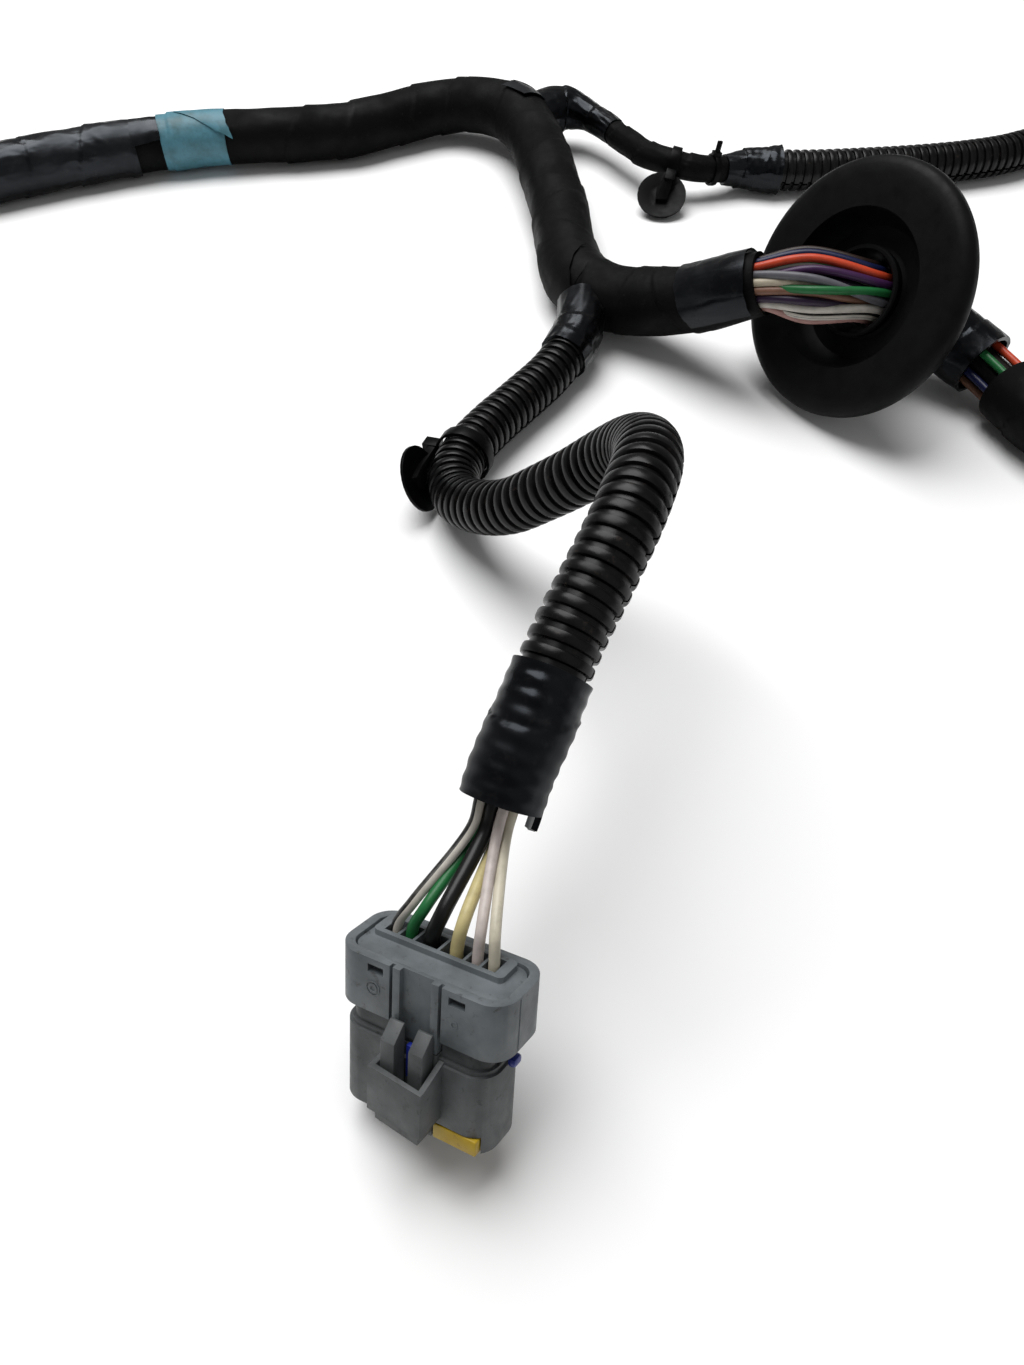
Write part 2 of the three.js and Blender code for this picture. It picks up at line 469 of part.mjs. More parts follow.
  // Latch: two prongs on a bridge, standing in the guard
  const back = front - seam;
  const prong = (left) => {
    const side = new THREE.Shape([
      new THREE.Vector2(back, -latch.bottom), new THREE.Vector2(back, -latch.top),
      new THREE.Vector2(back - latch.out + latch.bevel, -latch.top), new THREE.Vector2(back - latch.out, -latch.top - latch.bevel),
      new THREE.Vector2(back - latch.out, -latch.bottom + 1), new THREE.Vector2(back - latch.out + 1, -latch.bottom),
    ].reverse());
    const body = new THREE.ExtrudeGeometry(side, { depth: latch.prongWide, bevelEnabled: false });
    return solidOf(body.applyMatrix4(sideways).translate(left, 0, 0));
  };
  const rightProng = latch.left + latch.prongWide + latch.gap;
  const bridge = slab(latch.left, rightProng + latch.prongWide, back - latch.thick, back, -latch.bottom, -latch.bottom + 2.2);
  add('connector_latch', geometryOf(largest(prong(latch.left).add(prong(rightProng)).add(bridge))), greyPlastic, connector);

  // Inner block that carries the terminals, the seal round it, and the terminal lock at its front
  const block = (grow, radius, z0, z1, turns) => low(core.inset - grow, radius, z0, z1, turns);
  const blockFront = lowFront + core.inset;
  let inner = block(0, 1.4, -p.length + 1, seat - seam, 3);
  for (const c of cavities) {
    inner = inner.subtract(slab(c.middle - core.slotWide / 2, c.middle + core.slotWide / 2, lowY - core.slotHigh / 2,
      lowY + core.slotHigh / 2, -p.length, -p.length + core.slotDeep));
  }
  inner = inner.subtract(slab(lock.left - seam, lock.right + seam, blockFront - 1, blockFront + lock.bite, -p.length - 1,
    -p.length + lock.high + seam));
  add('terminal_block', geometryOf(largest(inner)), greyPlastic, connector);
  const sealTop = seat - seam;
  const seal = block(1.6, 2.6, sealTop - 3, sealTop, 4).subtract(block(seam, 1.6, sealTop - 4, sealTop + 1, 3));
  add('mating_seal', geometryOf(largest(seal)), blueSilicone, connector);
  add('terminal_lock', geometryOf(slab(lock.left, lock.right, lowFront, blockFront + lock.bite - seam, -p.length,
    -p.length + lock.high - seam)), yellowPlastic, connector);
}

// Six wires from the conduit's end to the connector, and a terminal on each
const legColours = [
  ['white_black', 0xb9b2a8, 2.3], ['green', 0x1f6a35, 2.3], ['black', 0x131314, 3.1],
  ['yellow', 0xb3a777, 2.6], ['pink_white', 0xb9aeaa, 2.2], ['cream', 0xbdb6a4, 2.2],
];

function makeConnectorWires() {
  connector.updateWorldMatrix(true, false);
  const toTable = (x, y, z) => connector.localToWorld(new THREE.Vector3(x, y, z));
  const inward = conduitCurve.getTangentAt(1).negate();
  const mouth = conduitCurve.getPointAt(1);
  const side = new THREE.Vector3(0, 0, 1).cross(inward).normalize().negate();
  const over = inward.clone().cross(side);
  // Each wire's place across the conduit's mouth: to the right and up, in mm
  const spread = [[-5.05, 0.6], [-2.2, -3.7], [-0.8, 2.2], [1.4, -2.6], [2, 3.2], [5, 0.2]];
  legColours.forEach(([colour, value, diameter], i) => {
    const [across, up] = spread[i];
    const c = cavities[i];
    const at = (back) => mouth.clone().addScaledVector(inward, back).addScaledVector(side, across).addScaledVector(over, up);
    const path = new THREE.CatmullRomCurve3([
      at(wire.inConduit), at(6), at(0), at(-6).addScaledVector(over, 1.5),
      toTable(c.middle * 0.84 + 1, rowMiddleY + 0.8, 6.5), toTable(c.middle, rowMiddleY, plug.rimHeight),
      toTable(c.middle, rowMiddleY, -wire.inCavity),
    ], false, 'centripetal');
    add(`leg_wire_${colour}`, tube(path, diameter, wire.sides, 5), insulation(value));
    const wide = diameter * 0.8;
    add(`terminal_${i + 1}`, geometryOf(slab(c.middle - wide / 2, c.middle + wide / 2, rowMiddleY - 1.1, rowMiddleY + 1.1,
      -plug.length + core.gapBack + seam, -wire.inCavity - seam)), tinPlate, connector);
  });
}

const band = (inner, thick, wide, sides) => solidOf(new THREE.LatheGeometry([
  [inner, -wide / 2], [inner + thick, -wide / 2], [inner + thick, wide / 2], [inner, wide / 2], [inner, -wide / 2],
].map(([r, z]) => new THREE.Vector2(r, z)), sides).rotateX(Math.PI / 2));

// Cable-tie clips: a strap round the branch or conduit, a head, a neck, and a dish with its barb
function makeClip(name, route, tubeD, set) {
  const station = stationOn(route, set.along);
  station.updateMatrix();
  const onTurn = station.matrix.clone().multiply(new THREE.Matrix4().makeRotationZ(THREE.MathUtils.degToRad(set.headTurn)));
  const dishFrame = new THREE.Matrix4().lookAt(new THREE.Vector3(...set.dishFacing), new THREE.Vector3(), new THREE.Vector3(0, 0, 1))
    .setPosition(...set.dishCentre);
  const strapR = tubeD / 2 + clip.play;
  const reach = strapR + clip.strapThick;
  const strap = band(strapR, clip.strapThick, clip.strapWide, 20).transform(station.matrix.elements);
  const head = slab(reach - 0.6, reach + clip.headHigh, -clip.headWide / 2, clip.headWide / 2, -clip.strapWide / 2, clip.strapWide / 2)
    .transform(onTurn.elements);
  const window = slab(reach + clip.headHigh - 1.2, reach + clip.headHigh + 1, -clip.windowWide / 2, clip.windowWide / 2,
    -clip.windowLong / 2, clip.windowLong / 2).transform(onTurn.elements);
  const neckTop = slab(reach, reach + clip.headHigh * 0.6, -clip.headWide * 0.4, clip.headWide * 0.4, -clip.strapWide * 0.4, clip.strapWide * 0.4)
    .transform(onTurn.elements);
  const foot = slab(-clip.footWide / 2, clip.footWide / 2, -clip.footWide / 2, clip.footWide / 2, 0, clip.footHigh)
    .transform(dishFrame.elements);
  const dish = solidOf(new THREE.LatheGeometry([
    [0, -clip.dishWall], [clip.dishR * 0.55, 0.25 - clip.dishWall], [clip.dishR, clip.dishDeep - clip.dishWall],
    [clip.dishR, clip.dishDeep], [clip.dishR * 0.55, 0.25], [0, 0]].map(([r, z]) => new THREE.Vector2(r, z)), 28).rotateX(Math.PI / 2))
    .transform(dishFrame.elements);
  const barb = solidOf(new THREE.CylinderGeometry(clip.barbR, clip.barbR * 0.45, clip.barbLength, 10).rotateX(Math.PI / 2)
    .translate(0, 0, -clip.dishWall - clip.barbLength / 2 + 0.3)).transform(dishFrame.elements);
  const neck = wasm.Manifold.hull([neckTop, foot]);
  const tubeSpace = solidOf(stretchTube(route, set.along - 35, set.along + 35, tubeD + 5 * seam, 12, 5));
  const whole = head.add(neck).add(dish).add(barb).subtract(window).subtract(tubeSpace).add(strap);
  add(name, geometryOf(largest(whole)), clipPlastic);
}

// A tie with its cut tail standing up
function makeTie(name, route, tubeD) {
  const inner = tubeD / 2 + 2 * seam;
  const head = slab(-tie.headWide / 2, tie.headWide / 2, inner + tie.thick / 2, inner + tie.headHigh, -tie.wide * 0.75, tie.wide * 0.75);
  const tail = slab(-tie.tailThick / 2, tie.tailThick / 2, inner + tie.thick, inner + tie.tail, -tie.wide * 0.45, tie.wide * 0.45);
  add(name, geometryOf(largest(band(inner, tie.thick, tie.wide, 16).add(head).add(tail))), clipPlastic, stationOn(route, tie.along));
}

// Plain multiway plugs on the three far ends
function makeEndPlug(name, route, atStart, tubeD, { width, depth, length, ways }) {
  const station = stationOn(route, atStart ? 0 : route.getLength());
  const turned = new THREE.Group();
  if (atStart) turned.rotation.y = Math.PI;
  station.add(turned);
  const shell = roundedBlock(width, depth, 3, endPlug.collar + seam, endPlug.collar + length);
  const flange = roundedBlock(width + endPlug.flange, depth + endPlug.flange, 4, endPlug.collar + 3, endPlug.collar + 6);
  const collar = solidOf(new THREE.CylinderGeometry(tubeD / 2 - 0.6, tubeD / 2 - 0.6, endPlug.collar + 1 - seam, 16)
    .rotateX(Math.PI / 2).translate(0, 0, (endPlug.collar + 1 + seam) / 2));
  let housing = shell.add(flange);
  const pitch = (width - 2 * endPlug.wall) / ways;
  const end = endPlug.collar + length;
  for (const row of [-1, 1]) {
    for (let i = 0; i < ways; i++) {
      const x = (i - (ways - 1) / 2) * pitch;
      const y = row * depth / 4;
      housing = housing.subtract(slab(x - endPlug.cavity / 2, x + endPlug.cavity / 2, y - 1.1, y + 1.1, end - endPlug.cavityDepth, end + 1));
    }
  }
  const tongue = slab(-endPlug.tongue / 2, endPlug.tongue / 2, depth / 2 - 0.5, depth / 2 + endPlug.tongueHigh, endPlug.collar + 7, end - endPlug.tongueHigh);
  add(name, geometryOf(largest(housing.add(tongue).add(collar))), greyPlastic, turned);
}

makeTrunk();
makeBranch();
makeConduitLeg();
makeGrommet();
makeBundleWires();
makeRearLeg();
makeConnector();
makeConnectorWires();
makeClip('branch_clip', branchCurve, branch.d, branchClip);
makeTie('branch_tie', branchCurve, branch.d);
makeClip('conduit_clip', conduitCurve, conduit.d, conduitClip);
makeEndPlug('left_plug', trunkCurve, true, trunk.leftD, leftPlug);
makeEndPlug('branch_plug', branchCurve, false, branch.conduitD, branchPlug);
makeEndPlug('rear_plug', rearCurve, false, rear.d, rearPlug);

// The origin is the middle of the harness on its table
const reach = new THREE.Box3().setFromObject(harness, true);
harness.position.set(-(reach.min.x + reach.max.x) / 2, -(reach.min.y + reach.max.y) / 2, -reach.min.z);

export default harness;
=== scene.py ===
# Vehicle wiring harness: taped trunk, clipped branch in split conduit, bulkhead grommet
# and a conduit leg that ends in a six-way sealed connector.
import bpy
import bmesh
import math
from mathutils import Matrix, Vector, noise


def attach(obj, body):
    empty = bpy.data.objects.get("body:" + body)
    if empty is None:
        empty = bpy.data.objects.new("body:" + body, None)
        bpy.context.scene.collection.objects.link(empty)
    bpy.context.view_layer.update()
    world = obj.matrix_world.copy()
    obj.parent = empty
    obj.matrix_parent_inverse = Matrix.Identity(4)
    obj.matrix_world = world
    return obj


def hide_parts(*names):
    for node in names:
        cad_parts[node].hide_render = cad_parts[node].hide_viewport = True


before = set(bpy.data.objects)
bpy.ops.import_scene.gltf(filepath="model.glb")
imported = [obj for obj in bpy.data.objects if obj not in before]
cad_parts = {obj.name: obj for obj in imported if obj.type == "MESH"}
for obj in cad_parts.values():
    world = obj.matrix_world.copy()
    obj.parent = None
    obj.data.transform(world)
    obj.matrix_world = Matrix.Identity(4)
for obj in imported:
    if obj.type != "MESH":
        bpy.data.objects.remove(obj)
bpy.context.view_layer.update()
mm = 0.001
fromTable = Vector((-1.891, -272.119, -0.07)) * mm  # from the routes' datum to the part's origin
print("frame loaded")


def place(x, y, z):
    return Vector((x, y, z)) * mm + fromTable


# Camera

view = {"height": 216, "down": 52, "lens": 27.03}


def makeCamera():
    camera = bpy.data.objects.new("camera", bpy.data.cameras.new("camera"))
    camera.data.lens = view["lens"]
    camera.data.sensor_width = 36
    camera.data.clip_start = 0.01
    camera.location = place(0, 0, view["height"])
    camera.rotation_euler = (math.radians(90 - view["down"]), 0, 0)
    bpy.context.collection.objects.link(camera)
    bpy.context.scene.camera = camera


makeCamera()
print("camera set")


# Routes and tubes

class Route:
    # A smooth line through given points, with an even spacing and a steady frame along it

    def __init__(self, points, gap=0.5 * mm):
        ends = [points[0] * 2 - points[1], *points, points[-1] * 2 - points[-2]]
        fine = []
        for a, b, c, d in zip(ends, ends[1:], ends[2:], ends[3:]):
            k0, k1, k2 = (max((q - p).length ** 0.5, 1e-6) for p, q in ((a, b), (b, c), (c, d)))
            inTangent = (b - a) / k0 - (c - a) / (k0 + k1) + (c - b) / k1
            outTangent = (c - b) / k1 - (d - b) / (k1 + k2) + (d - c) / k2
            for i in range(24):
                t = i / 24
                bend = (2 * t ** 3 - 3 * t ** 2 + 1) * b + (t ** 3 - 2 * t ** 2 + t) * k1 * inTangent
                fine.append(bend + (3 * t ** 2 - 2 * t ** 3) * c + (t ** 3 - t ** 2) * k1 * outTangent)
        fine.append(points[-1].copy())
        self.length = sum((b - a).length for a, b in zip(fine, fine[1:]))
        count = max(8, round(self.length / gap))
        self.gap = self.length / count
        self.marks = [fine[0]]
        travelled = 0
        for a, b in zip(fine, fine[1:]):
            step = (b - a).length
            while len(self.marks) <= count and travelled + step >= len(self.marks) * self.gap - 1e-9:
                self.marks.append(a.lerp(b, (len(self.marks) * self.gap - travelled) / max(step, 1e-9)))
            travelled += step
        while len(self.marks) <= count:
            self.marks.append(fine[-1].copy())
        last = len(self.marks) - 1
        self.alongs = [(self.marks[min(i + 2, last)] - self.marks[max(i - 2, 0)]).normalized() for i in range(last + 1)]
        side = Vector((0, 0, 1)).cross(self.alongs[0]).normalized()
        self.sides = []
        for along in self.alongs:
            side = (side - along * side.dot(along)).normalized()
            self.sides.append(side)

    def at(self, distance):
        # the point there, and its side, over and along directions; straight on past the ends
        i = min(max(int(distance / self.gap), 0), len(self.marks) - 2)
        t = distance / self.gap - i
        point = self.marks[i] + (self.marks[i + 1] - self.marks[i]) * t
        t = min(max(t, 0), 1)
        along = self.alongs[i].lerp(self.alongs[i + 1], t).normalized()
        side = self.sides[i].lerp(self.sides[i + 1], t)
        side = (side - along * side.dot(along)).normalized()
        return point, side, along.cross(side), along

    def points(self, start, end, step=4 * mm):
        count = max(2, round(abs(end - start) / step))
        return [tuple(self.at(start + (end - start) * i / count)[0]) for i in range(count + 1)]


def route(rows):
    return Route([place(*row) for row in rows])


def turned(profile, sides, opening=0, start=0):
    # Spins a profile of (radius, distance) points about Z; an opening leaves a slit
    bm = bmesh.new()
    verts = [bm.verts.new((radius * math.cos(start), radius * math.sin(start), z)) for radius, z in profile]
    edges = [bm.edges.new(pair) for pair in zip(verts, verts[1:])]
    bmesh.ops.spin(bm, geom=verts + edges, cent=(0, 0, 0), axis=(0, 0, 1), angle=2 * math.pi - opening,
                   steps=sides, use_merge=not opening)
    bmesh.ops.remove_doubles(bm, verts=bm.verts, dist=1e-6)
    bmesh.ops.recalc_face_normals(bm, faces=bm.faces)
    return bm


def reshape(bm, skin):
    # Moves each point in or out by skin(angle, distance), in metres
    for vert in bm.verts:
        radius = math.hypot(vert.co.x, vert.co.y)
        if radius > 1e-5:
            grown = 1 + skin(math.atan2(vert.co.y, vert.co.x), vert.co.z) / radius
            vert.co.x *= grown
            vert.co.y *= grown


def wrapMap(bm):
    # UV in metres: round the tube, and along it
    uv = bm.loops.layers.uv.new("wrap")
    radius = max(math.hypot(v.co.x, v.co.y) for v in bm.verts)
    for face in bm.faces:
        centre = face.calc_center_median()
        middle = math.atan2(centre.y, centre.x)
        for loop in face.loops:
            turn = math.atan2(loop.vert.co.y, loop.vert.co.x) - middle
            turn = (turn + math.pi) % (2 * math.pi) - math.pi
            loop[uv].uv = ((middle + turn) * radius, loop.vert.co.z)


def layAlong(bm, line):
    for vert in bm.verts:
        point, side, over, _ = line.at(vert.co.z)
        vert.co = point + side * vert.co.x + over * vert.co.y
        vert.co.z = max(vert.co.z, 0)  # it lies on the table


def keep(bm, name, look, slot, *nodes, sharpest=40, closed=True):
    # Makes the finished piece, which rides with the harness and stands for its CAD nodes
    if closed:
        bmesh.ops.recalc_face_normals(bm, faces=bm.faces)
    mesh = bpy.data.meshes.new(name)
    bm.to_mesh(mesh)
    bm.free()
    for face in mesh.polygons:
        face.use_smooth = True
    mesh.set_sharp_from_angle(angle=math.radians(sharpest))
    for one in look if isinstance(look, list) else [look]:
        mesh.materials.append(one)
    piece = bpy.data.objects.new(name, mesh)
    bpy.context.collection.objects.link(piece)
    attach(piece, "root")
    if nodes:
        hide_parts(*nodes)
    return piece


# Materials

def newLook(name, color, roughness, **shaderValues):
    look = bpy.data.materials.new(name)
    look.use_nodes = True
    shader = look.node_tree.nodes["Principled BSDF"]
    shader.inputs["Base Color"].default_value = (*color, 1)
    shader.inputs["Roughness"].default_value = roughness
    for socket, value in shaderValues.items():
        shader.inputs[socket.replace("_", " ")].default_value = value
    return look


def node(look, kind, inputs=None, **settings):
    made = look.node_tree.nodes.new("ShaderNode" + kind)
    for key, value in settings.items():
        setattr(made, key, value)
    for socket, value in (inputs or {}).items():
        if isinstance(value, bpy.types.NodeSocket):
            look.node_tree.links.new(value, made.inputs[socket])
        else:
            made.inputs[socket].default_value = value
    return made


def grainOn(look, space, scale, detail=3.0, roughness=0.5, stretch=(1, 1, 1)):
    # Noise in millimetres on the object's own space or on the wrap map
    mapped = node(look, "Mapping", {"Vector": space, "Scale": tuple(1000 * s for s in stretch)})
    return node(look, "TexNoise", {"Vector": mapped.outputs[0], "Scale": scale, "Detail": detail,
                                   "Roughness": roughness}).outputs["Fac"]


def ramp(look, value, stops, plain=True):
    made = node(look, "ValToRGB", {"Fac": value})
    while len(made.color_ramp.elements) < len(stops):
        made.color_ramp.elements.new(0.5)
    for element, (position, color) in zip(made.color_ramp.elements, stops):
        element.position = position
        element.color = (color, color, color, 1) if plain else (*color, 1)
    return made.outputs["Color"]


def feed(look, socket, value):
    look.node_tree.links.new(value, look.node_tree.nodes["Principled BSDF"].inputs[socket])


def bump(look, height, strength, distance, under=None):
    made = node(look, "Bump", {"Height": height, "Strength": strength, "Distance": distance})
    if under is not None:
        look.node_tree.links.new(under, made.inputs["Normal"])
    return made.outputs["Normal"]


def objectSpace(look):
    return node(look, "TexCoord").outputs["Object"]


def wrapSpace(look):
    return node(look, "UVMap", uv_map="wrap").outputs["UV"]


def mix(look, factor, a, b):
    made = node(look, "Mix", data_type="RGBA")
    for socket, value in ((0, factor), (6, a), (7, b)):
        if isinstance(value, bpy.types.NodeSocket):
            look.node_tree.links.new(value, made.inputs[socket])
        else:
            made.inputs[socket].default_value = value if socket == 0 else (*value, 1)
    return made.outputs[2]


def vinylLook(name, color=(0.0014, 0.0014, 0.0018), gloss=0.27, creases=1.0, shine=0.3):
    look = newLook(name, color, gloss, Specular_IOR_Level=shine, Specular_Tint=(0.82, 0.9, 1, 1))
    wrap = wrapSpace(look)
    body = objectSpace(look)
    smudge = grainOn(look, body, 0.07, 4)
    feed(look, "Roughness", ramp(look, smudge, ((0.35, gloss - 0.06), (0.65, gloss + 0.2))))
    dust = grainOn(look, body, 0.3, 5, 0.6)
    feed(look, "Base Color", mix(look, ramp(look, dust, ((0.55, 0), (0.8, 0.5))), color, (0.02, 0.019, 0.0185)))
    crease = grainOn(look, wrap, 0.12, 2, 0.45, (1.4, 0.5, 1))
    first = bump(look, crease, 0.55 * creases, 0.9 * mm)
    feed(look, "Normal", bump(look, grainOn(look, wrap, 0.35, 2), 0.12 * creases, 0.3 * mm, first))
    return look


def clothLook(name, color=(0.002, 0.002, 0.002)):
    look = newLook(name, color, 0.62, Specular_IOR_Level=0.07)
    wrap = wrapSpace(look)
    body = objectSpace(look)
    mapped = node(look, "Mapping", {"Vector": wrap, "Scale": (1000, 1000, 1000), "Rotation": (0, 0, 0.35)})
    warp = node(look, "TexWave", {"Vector": mapped.outputs[0], "Scale": 1.1, "Distortion": 0.6, "Detail": 1.0},
                bands_direction="X")
    weft = node(look, "TexWave", {"Vector": mapped.outputs[0], "Scale": 1.1, "Distortion": 0.6, "Detail": 1.0},
                bands_direction="Y")
    weave = node(look, "Math", {0: warp.outputs["Fac"], 1: weft.outputs["Fac"]}, operation="MAXIMUM").outputs[0]
    wear = grainOn(look, body, 0.05, 4, 0.6)
    lint = grainOn(look, body, 0.6, 5, 0.7)
    worn = mix(look, ramp(look, wear, ((0.45, 0), (0.75, 0.6))), color, (0.005, 0.005, 0.0053))
    feed(look, "Base Color", mix(look, ramp(look, lint, ((0.62, 0), (0.8, 0.7))), worn, (0.03, 0.028, 0.026)))
    feed(look, "Roughness", ramp(look, wear, ((0.35, 0.74), (0.65, 0.42))))
    folds = grainOn(look, wrap, 0.09, 2, 0.5, (0.7, 1, 1))
    first = bump(look, folds, 0.6, 0.8 * mm)
    feed(look, "Normal", bump(look, weave, 0.3, 0.08 * mm, first))
    return look


def tealLook(name):
    color = (0.062, 0.19, 0.245)
    look = newLook(name, color, 0.5, Specular_IOR_Level=0.4)
    wrap = wrapSpace(look)
    body = objectSpace(look)
    # Painted shade: the darker, greener tone of the tape's shaded lower side, scattered over the tape in random patches
    # by this mask
    dirtAndShade = grainOn(look, body, 0.16, 5, 0.65)
    shade = mix(look, ramp(look, dirtAndShade, ((0.38, 0), (0.68, 0.85))), color, (0.034, 0.1, 0.115))
    feed(look, "Base Color", shade)
    crease = grainOn(look, wrap, 0.14, 3, 0.5, (1, 0.6, 1))
    feed(look, "Normal", bump(look, crease, 0.6, 0.6 * mm))
    return look


def mouldedLook(name, color, roughness, mottle=(0.6, 0.6, 0.6), grain=2.2, depth=0.05, specks=None, **shaderValues):
    # Moulded plastic or rubber: faint mottle, rubbed patches, fine grain, and specks of dirt if asked
    look = newLook(name, color, roughness, **shaderValues)
    body = objectSpace(look)
    cloud = grainOn(look, body, 0.11, 5, 0.6)
    darker = tuple(c * m for c, m in zip(color, mottle))
    base = mix(look, ramp(look, cloud, ((0.35, 1), (0.65, 0))), color, darker)
    if specks:
        spots = ramp(look, grainOn(look, body, 0.45, 3, 0.7), ((0.6, 0), (0.7, 0.8)))
        base = mix(look, spots, base, specks)
    feed(look, "Base Color", base)
    feed(look, "Roughness", ramp(look, grainOn(look, body, 0.3, 4), ((0.3, roughness - 0.07), (0.7, roughness + 0.1))))
    feed(look, "Normal", bump(look, grainOn(look, body, grain, 3), 0.4, depth * mm))
    return look


stripes = {"turn": 50, "share": 0.38}


def wireLook(name, color, stripe=None, radius=1.15, dirtAndShade=0.45):
    # Extruded insulation; a stripe runs along both sides of the wire
    look = newLook(name, color, 0.36, Specular_IOR_Level=0.27)
    body = objectSpace(look)
    base = color
    if stripe:
        parts = node(look, "SeparateXYZ", {"Vector": wrapSpace(look)})
        halfTurn = math.pi * radius * mm / 2
        aside = node(look, "Math", {0: parts.outputs["X"], 1: math.radians(stripes["turn"]) * radius * mm}).outputs[0]
        ways = node(look, "Math", {0: aside, 1: halfTurn}, operation="PINGPONG").outputs[0]
        near = node(look, "Math", {0: ways, 1: stripes["share"] * halfTurn}, operation="LESS_THAN").outputs[0]
        base = mix(look, near, color, stripe)
    grime = ramp(look, grainOn(look, body, 0.3, 4, 0.6), ((0.45, 0), (0.8, dirtAndShade)))
    dull = tuple(0.35 * c for c in color)
    feed(look, "Base Color", mix(look, grime, base, dull))
    feed(look, "Normal", bump(look, grainOn(look, body, 0.5, 2), 0.25, 0.15 * mm))
    return look


vinyl = vinylLook("glossyVinylTape")
sleeveVinyl = vinylLook("conduitEndVinyl", gloss=0.25, creases=0.35, shine=0.2)
junctionVinyl = vinylLook("junctionVinylTape", gloss=0.24, creases=1.2, shine=0.22)
cloth = clothLook("clothTape")
teal = tealLook("tealPaperTape")
conduitBlack = mouldedLook("conduitBlack", (0.0014, 0.0014, 0.0016), 0.3, (2.4, 2.3, 2.2), 0.9, 0.03, (0.016, 0.012, 0.01),
                           Specular_IOR_Level=0.19)
rubberBlack = mouldedLook("grommetRubber", (0.002, 0.002, 0.0022), 0.48, (1.8, 1.8, 1.8), 1.2, 0.05, Specular_IOR_Level=0.09)
nylonBlack = mouldedLook("clipNylon", (0.0014, 0.0014, 0.0017), 0.38, (1.6, 1.6, 1.6), 1.4, 0.03, Specular_IOR_Level=0.07)
housingGrey = mouldedLook("housingGrey", (0.072, 0.078, 0.08), 0.5, (0.58, 0.58, 0.58), 1.6, 0.05, (0.03, 0.03, 0.03))
capGrey = mouldedLook("capGrey", (0.11, 0.125, 0.134), 0.48, (0.6, 0.6, 0.6), 1.6, 0.05, (0.035, 0.035, 0.034))
plugGrey = mouldedLook("plugGrey", (0.1, 0.105, 0.112), 0.5, (0.75, 0.75, 0.75), 2.4, 0.04)
lockYellow = mouldedLook("lockYellow", (0.5, 0.34, 0.003), 0.46, (0.7, 0.65, 0.6), 2.4, 0.03, (0.2, 0.12, 0.01))
sealBlue = mouldedLook("sealBlue", (0.008, 0.02, 0.25), 0.4, (0.7, 0.7, 0.7), 1.4, 0.03)
tinned = mouldedLook("tinnedTerminals", (0.6, 0.58, 0.55), 0.3, (0.8, 0.8, 0.8), 3.0, 0.02, Metallic=1.0)
wireColours = {
    "brown": ((0.018, 0.01, 0.008), None), "navy": ((0.007, 0.01, 0.045), None), "orange": ((0.5, 0.055, 0.02), None),
    "violet": ((0.045, 0.014, 0.06), None), "grey": ((0.1, 0.1, 0.112), None), "cream": ((0.42, 0.37, 0.28), None),
    "tan": ((0.17, 0.085, 0.055), None), "green": ((0.014, 0.12, 0.035), None), "plum": ((0.022, 0.01, 0.03), None),
    "white": ((0.5, 0.47, 0.42), None), "pink": ((0.36, 0.2, 0.18), None), "black": ((0.004, 0.004, 0.004), None),
    "whiteBlack": ((0.5, 0.47, 0.42), (0.006, 0.006, 0.006)), "yellow": ((0.48, 0.41, 0.2), None),
    "pinkWhite": ((0.5, 0.44, 0.41), None), "legCream": ((0.52, 0.48, 0.38), None),
    "whiteGreen": ((0.5, 0.5, 0.44), (0.03, 0.2, 0.07)),
}
insulation = {name: wireLook("wire_" + name, *values) for name, values in wireColours.items()}
print("materials made")


# Cords: the routes repeat the part's own, in millimetres on the table

trunkRoute = route([
    (-276, 362, 12), (-267, 382, 11.2), (-254, 401, 11.2), (-234, 417, 11.2), (-212.5, 429, 11.2), (-193.5, 438, 11.2),
    (-175, 446, 11.2), (-155.5, 453, 11.3), (-137, 457.5, 11.5), (-114, 460.5, 11.5), (-92.5, 463, 11.3),
    (-71, 467.5, 11.2), (-52, 477.5, 11.6), (-37, 485, 12), (-23.5, 486.5, 13.5), (-10, 481, 15), (0, 471, 16),
    (7, 458, 16), (11.5, 438, 15.5), (15.5, 416.5, 14), (18.5, 395, 12.5), (20, 373.5, 12), (21.5, 358, 12),
    (25.5, 344, 12), (33.5, 334, 12.6), (44, 327, 14.8), (53.5, 320.5, 18.6), (61.5, 314, 23.5), (69, 308.5, 29),
    (75, 305, 33), (80.5, 302.5, 36),
])
branchRoute = route([
    (9, 467, 16), (16, 474.5, 16), (24, 477.5, 15.6), (32, 473.5, 15), (40, 464.5, 14.4), (49, 449.5, 14),
    (57, 437.5, 14), (66.5, 432, 13.7), (77, 431.5, 11.6), (88, 434, 9.8), (97, 436.5, 9), (104.5, 436, 8.9),
    (121.5, 436, 8.5), (151.5, 438.5, 8.4), (172, 441, 8.4), (191, 444.5, 8.4), (210, 450, 8.4), (222, 455.5, 8.4),
    (236, 461, 8.4), (250, 463, 8.4), (264, 460, 8.8), (276, 453, 9.4),
])
conduitRoute = route([
    (25, 330, 12), (23, 315, 11), (14, 295.5, 9), (2, 278.5, 8.4), (-7.5, 264.5, 8.9), (-14, 252.5, 9.4),
    (-17.5, 240, 10), (-15.5, 228, 12), (-8, 217, 18.5), (0, 209.5, 26), (8, 204.5, 35), (15.5, 200.5, 43.5),
    (22.5, 196.5, 52.5), (27.5, 190, 61.5), (29.5, 180.5, 69), (28.5, 169.5, 74), (26, 160.5, 75),
    (22.5, 151.5, 73.5), (17, 141, 69), (11.5, 131.5, 64), (7.5, 123.5, 59.5), (3, 114, 54), (0, 108.5, 50),
    (-2.2, 103.5, 46),
])
